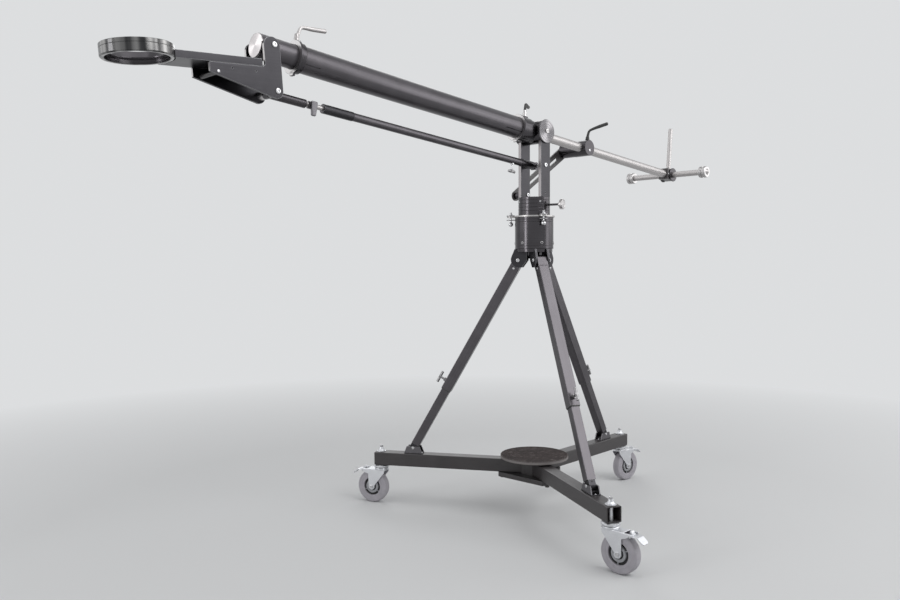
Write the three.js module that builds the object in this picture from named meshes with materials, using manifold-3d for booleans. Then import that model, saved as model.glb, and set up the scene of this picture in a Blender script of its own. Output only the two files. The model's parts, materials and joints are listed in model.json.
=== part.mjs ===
// A camera jib crane: a parallelogram boom with a telescoping inner tube, carried by a pan post on a
// tripod whose feet are pinned to a three-wheel dolly. Millimetres, +Z up. The boom's camera end lies
// towards -X and its counterweight end towards +X.
import * as THREE from "three";
import { mergeVertices } from "three/addons/utils/BufferGeometryUtils.js";
import Module from "manifold-3d";

const wasm = await Module();
wasm.setup();

const halfTurnDegrees = 180;
const degrees = (value) => (value * Math.PI) / halfTurnDegrees;
const inDegrees = (angle) => (angle * halfTurnDegrees) / Math.PI;
const fullTurn = 2 * Math.PI;
const quarterTurn = Math.PI / 2;

// Clearances and roundness, shared by all pieces.
const seatGap = 0.3; // between two pieces that bear on each other
const runGap = 0.4; // around a shaft or a tube that turns or slides
const openPinGap = 2.4; // around the pins where a closed linkage is opened
const cutOver = 5; // how far a cutter runs past the faces it cuts
const wideSides = 32;
const roundSides = 20;
const smallSides = 10;

// Dolly: three square tube arms on a hexagonal hub, with a round deck on top.
const legNames = ["front", "rear", "left"];
const legCount = legNames.length;
const dollyTurn = degrees(242.5); // direction of the front arm
const armSize = 50;
const armWall = 3.2;
const armOverhang = 22; // swivel axis to the arm's outer end
const hubSides = 6;
const hubFlat = 45.7; // centre to a flat of the hub's post
const hubPlateRadius = 100;
const hubPlateThick = 6;
const hubBaseReach = 134; // pan axis to a cut corner of the triangular base plate
const hubBaseCorner = 50; // width of a cut corner
const hubBaseThick = 17;
const hubBoltInsets = [64, 12]; // a cut corner in to the bolt heads
const hubBoltRadius = 8;
const hubBoltHeight = 8;
const deckRadius = 127;
const deckThick = 12.3;
const deckChamfer = 1.5;

// Foot brackets: a clevis on each arm that the tripod's foot is pinned to.
const footInset = 134; // swivel axis in to the foot pin
const footPinRise = 22.5; // the pin above the arm's top
const footPinRadius = 5;
const footHeadRadius = 8;
const footHeadThick = 3;
const footWidth = 33;
const footCheekThick = 4;
const footBaseThick = 3;
const footBaseLength = 74;
const footTopLength = 51;
const footCheekHeight = 28;

// Casters: a stem bolted through the arm, a swivelling fork, a wheel and a brake pedal.
const casterRadius = 606; // pan axis to the swivel axis
const casterTurns = { front: degrees(30), rear: degrees(-10), left: degrees(-10) };
const wheelRadius = 63.5;
const wheelSides = 32;
const treadWidth = 32;
const treadRound = 6;
const tyreFaceRadius = 40;
const rimDip = 3;
const hubBossRadius = 15;
const hubProud = 1; // the hub's end beyond the tread's side
const wheelHubWidth = treadWidth + 2 * hubProud;
const axleRadius = 6;
const axleHeadRadius = 10;
const axleHeadThick = 4;
const trail = 36;
const forkThick = 3;
const forkSideGap = 1; // between the hub's end and the fork's cheek
const wheelTopGap = 4; // the wheel's top to the fork's plate
const forkPlateRise = 2 * wheelRadius + wheelTopGap; // floor to the underside of the fork's plate
const forkPlateFront = 30;
const forkPlateBack = 56;
const forkFoot = 13;
const forkBackReach = 14; // axle back to the cheek's back edge
const forkEarReach = 46; // axle back to the ear's end
const forkEarDrop = 13;
const forkEarRootDrop = 20;
const forkCheekFront = 4;
const forkCheekFrontDrop = 20;
const pedalPinInset = 7; // the ear's end in to the pedal's pin
const pedalPinRise = 3.5; // the pin above the ear's lower edge
const pedalPinRadius = 3;
const pedalThick = 3;
const pedalSideGap = 1; // between the pedal's side and the fork's cheek
const pedalRoot = 8; // the pedal's reach before its pin
const pedalKnee = 26; // and behind it, to the bend
const pedalKneeRise = 3;
const pedalTip = 47; // and to the tip
const pedalTipDrop = 15;
const pedalTabLength = 12;
const pedalTabWidth = 16;
const pedalTabRise = 15;
const pedalHubRadius = 5.2;
const raceHeight = 7;
const stemRaceHeight = 11.8;
const forkRaceRadius = 27;
const stemRaceRadius = 30;
const stemSpigotRadius = 9;
const stemHeadRadius = 13;
const stemHeadThick = 3;
const stemRadius = 8;
const washerRadius = 22;
const washerThick = 2.5;
const stemNutRadius = 15;
const stemNutHeight = 13;
const stemTipRadius = 6.5;
const stemTipHeight = 10;

// Tripod: a crown with three clevises, and three telescoping square legs.
const crownPinRadius = 57.1; // pan axis to a leg's upper pin
const crownPinHeight = 954.5;
const crownRise = 42.2; // the legs' upper pins to the riser's foot
const crownRadius = 68;
const crownThick = 12;
const crownCoreRadius = 25;
const crownCoreDrop = 24;
const crownCheekThick = 8;
const crownCheekInner = 24;
const crownCheekRadius = 27;
const legPinRadius = 6;
const legBoltRadius = 9;
const legBoltThick = 4;
const legCheekGap = 0.4;
const upperLegWidth = 38.1;
const upperLegWall = 2.5;
const upperLegLength = 570; // upper pin to the tube's lower end
const upperLegPlug = 34;
const legSlideGap = 0.5;
const lowerLegWall = 2.5;
const legOverlap = 230; // lower tube inside the upper tube
const lowerLegEnd = 26; // the tube stops this far above the foot pin
const tongueGap = 0.5; // between the foot's tongue and the bracket's cheeks
const tongueWidth = footWidth - 2 * (footCheekThick + tongueGap);
const tongueDepth = 24;
const legLockInset = 29; // the upper tube's lower end back to the lock's screw
const legLockAt = upperLegLength - legLockInset;
const lockBossRadius = 11;
const lockBossHeight = 5;
const lockStudRadius = 4;
const lockStudLength = 22;
const lockBarRadius = 5.5;
const lockBarLength = 46;

// Riser, tie-down plate and pan base above the crown.
const riserBottom = crownPinHeight + crownRise;
const riserHeight = 116.3;
const riserTop = riserBottom + riserHeight;
const riserRadius = 71.6;
const riserWall = 6;
const riserRoof = 8;
const riserGroove = 1.2;
const riserGrooveWidth = 1.6;
const riserGrooveInset = 8;
const tieOverhang = 4.4; // the plate's rim beyond the riser
const tieRadius = riserRadius + tieOverhang;
const tieThick = 6;
const tieLugSize = 14;
const tiePinRadius = 3;
const tiePinUp = 14.7;
const tiePinDown = 24.3; // plate's underside to the middle of the ball
const tieDiscRadius = 16;
const tieLugRadius = riserRadius + runGap + tieDiscRadius; // pan axis to a tie-down screw
const tieDiscThick = 3;
const tieDiscDrop = 7; // plate's underside to the lower disc
const tieBallRadius = 9;
const neckRadius = 58.8;
const panBaseHeight = 30;
const panSplit = riserTop + 2 * seatGap + tieThick + panBaseHeight + runGap;
const panHeadHeight = 37;
const neckTop = panSplit + panHeadHeight;
const spigotRadius = 30;
const spigotLength = 24;
const neckGroove = 1.2;
const neckGrooveWidth = 1.6;
const neckGrooveDrop = 12;
const panKnobAngle = degrees(-73);
const panKnobRise = 9; // above the split of the pan bearing
const panStemRadius = 4;
const panStemLength = 46;
const panKnobRadius = 19;
const panKnobThick = 12;

// Post: two flat uprights with round bearing housings, and the pivot axle through them.
const uprightWidth = 52;
const uprightThick = 12.7;
const uprightOuter = 54.6; // pan axis to the upright's outer face
const postHeight = 239.3; // the neck's top to the main pivot
const pivotHeight = neckTop + postHeight;
const housingRadius = 42;
const housingDepth = 22.6;
const pivotAxleRadius = 15;
const capRadius = 43;
const capThick = 6.9;
const capBoltRadius = 9;
const capBoltThick = 2.5;
const levelDrop = 122.2; // main pivots to the lower pivots
const levelPinRadius = 6;
const levelHeadRadius = 8;
const levelHeadThick = 3.5;

// Boom: places along the boom are measured forward from the main pivot.
const boomTilt = degrees(5.29);
const boomReach = 1143.7; // main pivot to the front pivot
const barrelGap = 0.6; // between the barrel's ends and the housings
const blockInset = 2; // the block's neck is this much thinner than its barrel
const blockRadius = housingRadius - blockInset;
const outerRadius = 38.1;
const outerWall = 3;
const collarWall = 5.9;
const collarRadius = outerRadius + collarWall;
const collarShoulder = 49; // main pivot to the block's shoulder
const rearCollarLength = 56;
const blockSpigotLength = 90;
const flangeRise = 4; // a collar's front flange stands this far out of the collar
const collarFlangeThick = 8;
const keelRise = 5; // the flange's foot stands this far out of the flange
const keelWidth = 18;
const lugWidth = 22;
const lugLength = 18;
const outerInset = 97.7; // front pivot back to the outer tube's end
const outerEnd = boomReach - outerInset;
const frontCollarLength = 22;
const frontLipLength = 9;
const slitWidth = 2.5;
const slitLength = 66;
const rearSlitLength = 140;
const slitDrop = degrees(32); // below the tube's side line
const innerGap = 0.6; // between the two tubes
const innerRadius = outerRadius - outerWall - innerGap;
const innerWall = 3;
const innerLength = 740;
const headOverhang = 26.3; // front pivot to the inner tube's end
const innerEnd = boomReach + headOverhang;
const innerStart = innerEnd - innerLength;
const headPlug = 45; // solid end of the inner tube
const headDiscThick = 4;
const headDiscInset = 1;

// Clamping levers, with their arm's centre line in shares of the arm's reach.
const leverStudRadius = 8;
const leverStudHeight = 8;
const leverArmRadius = 6;
const leverShares = [
  [0, 0.05],
  [0.04, 0.2],
  [0.1, 0.37],
  [0.2, 0.43],
  [0.5, 0.47],
  [0.93, 0.54],
];
const frontLeverReach = 100;
const frontLeverInset = 10; // the front collar's face back to its lever
const frontLeverAt = outerEnd + frontLipLength - frontLeverInset;
const rearLeverReach = 120;
const rearLeverInset = 11; // the block's shoulder to its lever
const rearLeverAt = collarShoulder + rearLeverInset;
const strutLeverReach = 74;
const strutLeverShares = [
  [0, 0.08],
  [0.02, 0.3],
  [0.08, 0.5],
  [0.25, 0.62],
  [0.6, 0.78],
  [1, 0.95],
];
const leverSections = 8;
const leverSteps = 10;
const rearLeverTurn = degrees(35);
const strutLeverTurn = degrees(-44);

// Tail: the counterweight bar, its end block and the weight spindle.
const tailRadius = 17.5;
const tailSocketDepth = 17;
const weightAt = 945.7; // main pivot to the weight spindle
const tailBlockFront = 42;
const tailBlockBack = 20;
const tailBlockWidth = 44;
const tailBlockHeight = 48;
const tailBlockSocket = 22;
const spindleRadius = 12.7;
const spindleNear = 196;
const spindleFar = 211;
const flangeRadius = 30;
const flangeThick = 5;
const retainerInset = 21; // the spindle's ends in to the middle of the retainers
const retainerRadius = 25;
const retainerLength = 33;
const retainerGroove = 4;
const retainerGrooveWidth = 5;
const handleRadius = 10;
const handleLength = 187;
const handleStudRadius = 5;

// Brake strut: a bar from the far upright to a clamp that slides on the tail bar.
const strutPinRise = 14.3; // the neck's top to the strut's lower pin
const strutPinDrop = postHeight - strutPinRise;
const strutPinBack = 13; // main pivot back to the strut's lower pin
const strutClampAt = 304; // main pivot back to the clamp
const strutSide = 99; // pan axis to the strut's near face
const strutThick = 8;
const strutFootRadius = 19;
const strutHeadUp = 31; // upper pin to the head's upper edge
const strutHeadDown = 17;
const strutHeadLength = 22; // upper pin to the head's end
const strutPinRadius = 6;
const strutSpacerRadius = 12;
const strutWasherRadius = 11;
const strutWasherThick = 4;
const strutSlitWidth = 11;
const strutSlitStart = 46; // lower pin to the slit
const strutSlitEnd = 42; // slit to the upper pin
const strutSlitRise = 4; // the slit's middle above the line between the pins, at its upper end
const clampPinRadius = 5;
const clampPinDepth = 16; // the strut's upper pin inside the clamp
const clampPinDrop = 15; // the pin below the tail bar's middle at rest
const clampSlotDown = 16; // the slot's ends, from the tail bar's middle to the pin's
const clampSlotUp = 12;
const clampSlotGap = 4.2;
const clampWall = 13.5; // around the tail bar
const clampRadius = tailRadius + clampWall;
const clampNear = 32;
const clampWide = 36; // the far end of the wide part
const clampNeckStep = 1; // the clamp's far part is this much thinner
const clampNeckRadius = clampRadius - clampNeckStep;
const clampLeverInset = 14;

// Level rod: the lower side of the parallelogram, a tube with a telescoping front rod.
const eyeRadius = 14;
const eyeWidth = 24;
const levelTubeRadius = 12.7;
const levelTubeInset = 188.7; // front pivot back to the tube's end
const levelTubeFront = boomReach - levelTubeInset;
const rearSleeveWall = 1.8;
const rearSleeveRadius = levelTubeRadius + rearSleeveWall;
const rearSleeveLength = 78;
const frontSleeveWall = 1.3;
const frontSleeveRadius = levelTubeRadius + frontSleeveWall;
const frontSleeveLength = 108;
const levelRodRadius = 7;
const levelRodOverlap = 395; // the rod inside the tube
const levelRodBack = levelTubeFront - levelRodOverlap;
const levelBoreSpare = 60; // the tube's bore behind the rod
const levelBoreBack = levelRodBack - levelBoreSpare;
const frontFittingLength = 120;
const frontFittingRadius = levelTubeRadius;
const stopCollarRadius = 11;
const stopCollarLength = 16;
const stopCollarInset = 146.7; // front pivot back to the collar
const stopCollarAt = boomReach - stopCollarInset;
const rearKnobAt = 123;
const knobBossRadius = 7;
const knobBossDrop = 4;
const knobStudRadius = 3;
const knobStudLength = 24;
const knobBarLength = 36;
const knobBarRadius = 5;
const paddleStudLength = 5; // the stop collar's side to the paddle
const paddleTopWidth = 21;
const paddleFootWidth = 14;
const paddleUp = 8; // the paddle's screw to its upper edge
const paddleDown = 34;
const paddleThick = 8;

// Platform: two side plates, the camera arm on them, and the bowl ring.
const platformPitch = degrees(4.4); // the camera arm's nose-down angle in the photo's setting
const plateSideGap = 7.5; // between the inner tube and a side plate
const plateInner = innerRadius + plateSideGap; // boom's axis to a side plate's inner face
const plateThick = 8;
const earBack = 17;
const earFront = 33;
const earTop = 20.5;
const plateFillet = 6;
const plateStep = 61; // pivot line down to the long top edge
const plateNose = 195;
const plateNoseDrop = 86;
const plateHeelRadius = 21;
const plateHeelFront = 4; // lower pin to the centre of the heel
const platePinRadius = 6;
const plateBoltRadius = 8;
const plateBoltThick = 3.5;
const spacerRadius = 13;
const spacerGap = 0.8;
const crossTubeRadius = 6;
const crossTubeInset = 23; // the plates' nose back to the cross tube
const crossTubeX = plateNose - crossTubeInset;
const crossTubeRise = 2; // above the nose's lower corner
const crossTubeDrop = plateNoseDrop - crossTubeRise;
const cameraArmThick = 20;
const cameraArmGap = 9.7; // between the inner tube's end disc and the camera arm
const cameraArmBack = headOverhang + headDiscThick + cameraArmGap;
const armBlockFront = 150;
const armBlockBack = 46;
const armBlockDepth = 14;
const bowlX = 357;
const bowlRadius = 87;
const bowlHeight = 32;
const bowlChamfer = 2;
const bowlSkirtWall = 9;
const bowlSkirtRadius = bowlRadius - bowlSkirtWall;
const bowlSkirtHeight = 13;
const bowlLipWall = 21;
const bowlLipRadius = bowlRadius - bowlLipWall;
const bowlLipHeight = 16;
const bowlMouthWall = 12;
const bowlMouthRadius = bowlRadius - bowlMouthWall;

const finish = {
  blackPaint: new THREE.MeshStandardMaterial({ color: 0x1d1d1f, roughness: 0.55, metalness: 0.4 }),
  blackAnodised: new THREE.MeshStandardMaterial({ color: 0x17171a, roughness: 0.35, metalness: 0.7 }),
  deckGrip: new THREE.MeshStandardMaterial({ color: 0x262223, roughness: 0.9, metalness: 0.1 }),
  bareAluminium: new THREE.MeshStandardMaterial({ color: 0xc9c7c5, roughness: 0.3, metalness: 0.95 }),
  turnedGrey: new THREE.MeshStandardMaterial({ color: 0x6b6a6c, roughness: 0.35, metalness: 0.9 }),
  zinc: new THREE.MeshStandardMaterial({ color: 0xb9bcc0, roughness: 0.35, metalness: 0.9 }),
  wheelRubber: new THREE.MeshStandardMaterial({ color: 0x77787c, roughness: 0.75, metalness: 0 }),
};

// Turns a three.js geometry into a solid whose corners are shared.
function solid(geometry) {
  const bare = geometry.clone();
  bare.deleteAttribute("normal");
  bare.deleteAttribute("uv");
  const merged = mergeVertices(bare);
  const corners = merged.index.array;
  const triVerts = [];
  for (let i = 0; i < corners.length; i += 3) {
    const [a, b, c] = [corners[i], corners[i + 1], corners[i + 2]];
    if (a !== b && b !== c && c !== a) triVerts.push(a, b, c);
  }
  const vertProperties = merged.attributes.position.array;
  return new wasm.Manifold(
    new wasm.Mesh({ numProp: 3, vertProperties, triVerts: new Uint32Array(triVerts) }),
  );
}

const join = (first, ...others) => others.reduce((sum, next) => sum.add(next), first);
const cut = (first, ...others) => others.reduce((sum, next) => sum.subtract(next), first);

// Wraps a finished solid as a named mesh.
function piece(name, shape, material) {
  const { numProp, vertProperties, triVerts } = shape.getMesh();
  const corners = new Float32Array((vertProperties.length / numProp) * 3);
  for (let i = 0; i < corners.length / 3; i++)
    corners.set(vertProperties.subarray(i * numProp, i * numProp + 3), i * 3);
  const geometry = new THREE.BufferGeometry();
  geometry.setAttribute("position", new THREE.BufferAttribute(corners, 3));
  geometry.setIndex(new THREE.BufferAttribute(new Uint32Array(triVerts), 1));
  const mesh = new THREE.Mesh(geometry, material);
  mesh.name = name;
  return mesh;
}

// A box given by its lowest and highest corners.
function box([x0, y0, z0], [x1, y1, z1]) {
  const geometry = new THREE.BoxGeometry(x1 - x0, y1 - y0, z1 - z0);
  return solid(geometry.translate((x0 + x1) / 2, (y0 + y1) / 2, (z0 + z1) / 2));
}

// A round bar along X, Y or Z from one place to another, at an offset of its centre line.
function bar(axis, radius, from, to, sides = roundSides, [u, v] = [0, 0]) {
  const geometry = new THREE.CylinderGeometry(radius, radius, Math.abs(to - from), sides);
  geometry.rotateY(Math.PI / sides);
  const middle = (from + to) / 2;
  if (axis === "x") geometry.rotateZ(quarterTurn).translate(middle, u, v);
  if (axis === "y") geometry.translate(u, middle, v);
  if (axis === "z") geometry.rotateX(quarterTurn).translate(u, v, middle);
  return solid(geometry);
}

// A solid turned about Z from a profile of [radius, height] points, written from the bottom up.
function turned(profile, sides = roundSides) {
  const points = profile.map(([radius, height]) => new THREE.Vector2(radius, height));
  return solid(new THREE.LatheGeometry(points, sides).rotateX(quarterTurn));
}

// A flat outline in the XZ plane, given thickness along Y from one place to another.
function slab(shape, from, to) {
  const geometry = new THREE.ExtrudeGeometry(shape, {
    depth: to - from,
    bevelEnabled: false,
    curveSegments: smallSides,
  });
  return solid(geometry.rotateX(quarterTurn).translate(0, to, 0));
}

function outline(points) {
  return new THREE.Shape(points.map(([x, y]) => new THREE.Vector2(x, y)));
}

function group(position, axis, angle, ...children) {
  const holder = new THREE.Group();
  holder.position.set(...position);
  if (axis) holder.rotation[axis] = angle;
  holder.add(...children);
  return holder;
}

// Dolly

const armBottom = forkPlateRise + forkThick + raceHeight + runGap + stemRaceHeight + seatGap;
const armTop = armBottom + armSize;
const armEnd = casterRadius + armOverhang;
const footRadius = casterRadius - footInset;

function hub() {
  const top = armTop + seatGap + hubPlateThick;
  const baseTop = armBottom - seatGap;
  const bottom = baseTop - hubBaseThick;
  const postRadius = hubFlat / Math.cos(Math.PI / hubSides);
  const post = new THREE.CylinderGeometry(postRadius, postRadius, top - bottom, hubSides);
  post.rotateX(quarterTurn).rotateZ(dollyTurn).translate(0, 0, (top + bottom) / 2);
  const upper = bar("z", hubPlateRadius, armTop + seatGap, top, wideSides);
  const turns = legNames.map((name, i) => dollyTurn + (i * fullTurn) / legCount);
  const place = (turn, reach, side) => [
    reach * Math.cos(turn) - side * Math.sin(turn),
    reach * Math.sin(turn) + side * Math.cos(turn),
  ];
  const corners = turns.flatMap((turn) => [
    place(turn, hubBaseReach, -hubBaseCorner / 2),
    place(turn, hubBaseReach, hubBaseCorner / 2),
  ]);
  const base = new THREE.ExtrudeGeometry(outline(corners), { depth: hubBaseThick, bevelEnabled: false });
  const bolts = turns.flatMap((turn) =>
    hubBoltInsets.map((inset) => {
      const at = place(turn, hubBaseReach - inset, 0);
      return bar("z", hubBoltRadius, bottom - hubBoltHeight, bottom + seatGap, smallSides, at);
    }),
  );
  return piece(
    "hub",
    join(solid(post), upper, solid(base.translate(0, 0, bottom)), ...bolts),
    finish.blackPaint,
  );
}

function deckDisc() {
  const bottom = armTop + hubPlateThick + 2 * seatGap;
  const top = bottom + deckThick;
  const profile = [
    [0, bottom],
    [deckRadius - deckChamfer, bottom],
    [deckRadius, bottom + deckChamfer],
    [deckRadius, top - deckChamfer],
    [deckRadius - deckChamfer, top],
    [0, top],
  ];
  return piece("deck_disc", turned(profile, wideSides), finish.deckGrip);
}

function dollyArm(name) {
  const half = armSize / 2;
  const bore = half - armWall;
  const middle = armTop - half;
  const start = hubFlat + seatGap;
  const tube = box([start, -half, armBottom], [armEnd, half, armTop]);
  const hollow = box([start - cutOver, -bore, middle - bore], [armEnd + cutOver, bore, middle + bore]);
  const hole = bar("z", stemRadius + seatGap, armBottom - cutOver, armTop + cutOver, roundSides, [
    casterRadius,
    0,
  ]);
  return piece("dolly_arm_" + name, cut(tube, hollow, hole), finish.blackPaint);
}

function footBracket(name) {
  const bottom = armTop + seatGap;
  const half = footWidth / 2;
  const inner = half - footCheekThick;
  const base = footBaseLength / 2;
  const crest = footTopLength / 2;
  const cheekShape = outline([
    [footRadius - base, bottom],
    [footRadius + base, bottom],
    [footRadius + crest, bottom + footCheekHeight],
    [footRadius - crest, bottom + footCheekHeight],
  ]);
  const pinAt = [footRadius, armTop + footPinRise];
  const floor = box([footRadius - base, -half, bottom], [footRadius + base, half, bottom + footBaseThick]);
  const head = half + footHeadThick;
  return piece(
    "foot_bracket_" + name,
    join(
      slab(cheekShape, inner, half),
      slab(cheekShape, -half, -inner),
      floor,
      bar("y", footPinRadius, -half, half, smallSides, pinAt),
      bar("y", footHeadRadius, half - seatGap, head, smallSides, pinAt),
      bar("y", footHeadRadius, -head, -half + seatGap, smallSides, pinAt),
    ),
    finish.blackPaint,
  );
}

// Casters: each is drawn about its own swivel axis, with the wheel trailing towards +X.

const wheelHeight = wheelRadius * Math.cos(Math.PI / wheelSides);
const forkPlateTop = forkPlateRise + forkThick;
const forkInner = wheelHubWidth / 2 + forkSideGap;
const forkOuter = forkInner + forkThick;
const pedalPinX = trail + forkEarReach - pedalPinInset;
const pedalPinHeight = forkPlateTop - forkEarDrop + pedalPinRise;

function casterStem(name) {
  const raceBottom = forkPlateTop + raceHeight + runGap;
  const headTop = forkPlateRise - runGap;
  const washerBottom = armTop + seatGap;
  const nutBottom = washerBottom + washerThick;
  const tipBottom = nutBottom + stemNutHeight;
  const profile = [
    [0, headTop - stemHeadThick],
    [stemHeadRadius, headTop - stemHeadThick],
    [stemHeadRadius, headTop],
    [stemSpigotRadius, headTop],
    [stemSpigotRadius, raceBottom],
    [stemRaceRadius, raceBottom],
    [stemRaceRadius, armBottom - seatGap],
    [stemRadius, armBottom - seatGap],
    [stemRadius, washerBottom],
    [washerRadius, washerBottom],
    [washerRadius, nutBottom],
    [stemNutRadius, nutBottom],
    [stemTipRadius, tipBottom],
    [stemTipRadius, tipBottom + stemTipHeight],
    [0, tipBottom + stemTipHeight],
  ];
  return piece("caster_stem_" + name, turned(profile, roundSides), finish.zinc);
}

function casterFork(name) {
  const cheek = new THREE.Shape();
  cheek.moveTo(-forkCheekFront, forkPlateTop);
  cheek.lineTo(-forkCheekFront, forkPlateTop - forkCheekFrontDrop);
  cheek.lineTo(trail - forkFoot, wheelHeight);
  cheek.absarc(trail, wheelHeight, forkFoot, Math.PI, fullTurn, false);
  cheek.lineTo(trail + forkBackReach, forkPlateTop - forkEarRootDrop);
  cheek.lineTo(trail + forkEarReach, forkPlateTop - forkEarDrop);
  cheek.lineTo(trail + forkEarReach, forkPlateTop);
  const wide = [forkInner, forkOuter];
  const plate = box([-forkPlateFront, -forkOuter, forkPlateRise], [forkPlateBack, forkOuter, forkPlateTop]);
  const axleAt = [trail, wheelHeight];
  const headEnd = forkOuter + axleHeadThick;
  const pinHole = bar("y", pedalPinRadius + runGap, -headEnd, headEnd, smallSides, [
    pedalPinX,
    pedalPinHeight,
  ]);
  const raceTop = forkPlateTop + raceHeight;
  const spigotHole = bar("z", stemSpigotRadius + runGap, forkPlateRise - cutOver, raceTop + cutOver);
  const body = join(
    slab(cheek, wide[0], wide[1]),
    slab(cheek, -wide[1], -wide[0]),
    plate,
    bar("z", forkRaceRadius, forkPlateRise, raceTop, roundSides),
    bar("y", axleRadius, -forkOuter, forkOuter, smallSides, axleAt),
    bar("y", axleHeadRadius, forkInner + seatGap, headEnd, smallSides, axleAt),
    bar("y", axleHeadRadius, -headEnd, -forkInner - seatGap, smallSides, axleAt),
  );
  return piece("caster_fork_" + name, cut(body, pinHole, spigotHole), finish.zinc);
}

function casterWheel(name) {
  const half = treadWidth / 2;
  const boss = wheelHubWidth / 2;
  const face = half - rimDip;
  const side = [
    [axleRadius + runGap, boss],
    [hubBossRadius, boss],
    [hubBossRadius + rimDip, face],
    [tyreFaceRadius - rimDip, face],
    [tyreFaceRadius, half],
    [wheelRadius - treadRound, half],
    [wheelRadius, half - treadRound],
  ];
  const lower = side.map(([radius, height]) => [radius, -height]);
  const profile = [...lower, ...side.reverse(), lower[0]];
  const wheel = new THREE.LatheGeometry(
    profile.map(([radius, height]) => new THREE.Vector2(radius, height)),
    wheelSides,
  );
  return piece("caster_wheel_" + name, solid(wheel.rotateY(Math.PI / wheelSides)), finish.wheelRubber);
}

function brakePedal(name) {
  const tip = outline([
    [-pedalRoot, 0],
    [pedalKnee, pedalKneeRise],
    [pedalTip, -pedalTipDrop],
    [pedalTip, -pedalTipDrop - pedalThick],
    [pedalKnee - pedalThick, pedalKneeRise - pedalThick],
    [-pedalRoot, -pedalThick],
  ]);
  const half = forkInner - pedalSideGap;
  const sheet = slab(tip, -half, half);
  const barrel = bar("y", pedalHubRadius, -half, half, smallSides);
  const tab = box(
    [-pedalTabLength / 2, -pedalTabWidth / 2, 0],
    [pedalTabLength / 2, pedalTabWidth / 2, pedalTabRise],
  );
  const pin = bar("y", pedalPinRadius, -forkOuter, forkOuter, smallSides);
  return piece("brake_pedal_" + name, join(sheet, barrel, tab, pin), finish.zinc);
}

function caster(name) {
  const wheel = group([trail, 0, wheelHeight], null, 0, casterWheel(name));
  const pedal = group([pedalPinX, 0, pedalPinHeight], null, 0, brakePedal(name));
  return group([casterRadius, 0, 0], "z", casterTurns[name], casterFork(name), wheel, pedal);
}

function dolly() {
  const arms = legNames.map((name, i) =>
    group(
      [0, 0, 0],
      "z",
      dollyTurn + (i * fullTurn) / legCount,
      dollyArm(name),
      footBracket(name),
      group([casterRadius, 0, 0], null, 0, casterStem(name)),
      caster(name),
    ),
  );
  return group([0, 0, 0], null, 0, hub(), deckDisc(), ...arms);
}

// Tripod

const footPinHeight = armTop + footPinRise;
const legLean = Math.atan2(footRadius - crownPinRadius, crownPinHeight - footPinHeight);
const legLength = Math.hypot(footRadius - crownPinRadius, crownPinHeight - footPinHeight);
const upperBore = upperLegWidth - 2 * upperLegWall;
const lowerLegWidth = upperBore - 2 * legSlideGap;
const crownTop = riserBottom - seatGap;
const crownInner = upperLegWidth / 2 + legCheekGap;

function crown() {
  const bottom = crownTop - crownThick;
  const disc = bar("z", crownRadius, bottom, crownTop, wideSides);
  const core = bar("z", crownCoreRadius, bottom - crownCoreDrop, bottom, roundSides);
  const cheek = new THREE.Shape();
  cheek.moveTo(crownCheekInner, crownTop - crownThick / 2);
  cheek.lineTo(crownCheekInner, crownPinHeight);
  cheek.lineTo(crownPinRadius - crownCheekRadius / 2, crownPinHeight - crownCheekRadius);
  cheek.absarc(crownPinRadius, crownPinHeight, crownCheekRadius, -quarterTurn, 0, false);
  cheek.lineTo(crownPinRadius + crownCheekRadius, crownTop);
  cheek.lineTo(crownRadius, crownTop);
  const outer = crownInner + crownCheekThick;
  const pinAt = [crownPinRadius, crownPinHeight];
  const clevis = join(
    slab(cheek, crownInner, outer),
    slab(cheek, -outer, -crownInner),
    bar("y", legPinRadius, -outer, outer, smallSides, pinAt),
    bar("y", legBoltRadius, outer - seatGap, outer + legBoltThick, smallSides, pinAt),
    bar("y", legBoltRadius, -outer - legBoltThick, -outer + seatGap, smallSides, pinAt),
  );
  const turns = legNames.map((name, i) => dollyTurn + (i * fullTurn) / legCount);
  const clevises = turns.map((turn) => clevis.rotate([0, 0, inDegrees(turn)]));
  return piece("crown", join(disc, core, ...clevises), finish.blackAnodised);
}

// A leg is drawn hanging straight down from its upper pin, with its outer side towards +X.
function upperLeg(name) {
  const half = upperLegWidth / 2;
  const bore = upperBore / 2;
  const tube = box([-half, -half, -upperLegLength], [half, half, 0]);
  const hollow = box([-bore, -bore, -upperLegLength - cutOver], [bore, bore, -upperLegPlug]);
  const boss = bar("x", lockBossRadius, half - upperLegWall / 2, half + lockBossHeight, smallSides, [
    0,
    -legLockAt,
  ]);
  const studHole = bar(
    "x",
    lockStudRadius + seatGap,
    bore - cutOver,
    half + lockBossHeight + cutOver,
    smallSides,
    [0, -legLockAt],
  );
  const body = join(tube, bar("y", half, -half, half, roundSides), boss);
  const pinHole = bar("y", legPinRadius + runGap, -half - cutOver, half + cutOver, smallSides);
  return piece("upper_leg_" + name, cut(body, hollow, studHole, pinHole), finish.blackAnodised);
}

function lowerLeg(name) {
  const half = lowerLegWidth / 2;
  const bore = half - lowerLegWall;
  const top = -(upperLegLength - legOverlap);
  const bottom = -(legLength - lowerLegEnd);
  const tube = box([-half, -half, bottom], [half, half, top]);
  const hollow = box([-bore, -bore, bottom + lowerLegEnd], [bore, bore, top + cutOver]);
  const deep = tongueDepth / 2;
  const wide = tongueWidth / 2;
  const tongue = box([-deep, -wide, -legLength], [deep, wide, bottom + cutOver]);
  const toe = bar("y", deep, -wide, wide, roundSides, [0, -legLength]);
  const pinHole = bar("y", footPinRadius + openPinGap, -half - cutOver, half + cutOver, smallSides, [
    0,
    -legLength,
  ]);
  const body = join(cut(tube, hollow), tongue, toe);
  return piece("lower_leg_" + name, cut(body, pinHole), finish.blackAnodised);
}

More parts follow.
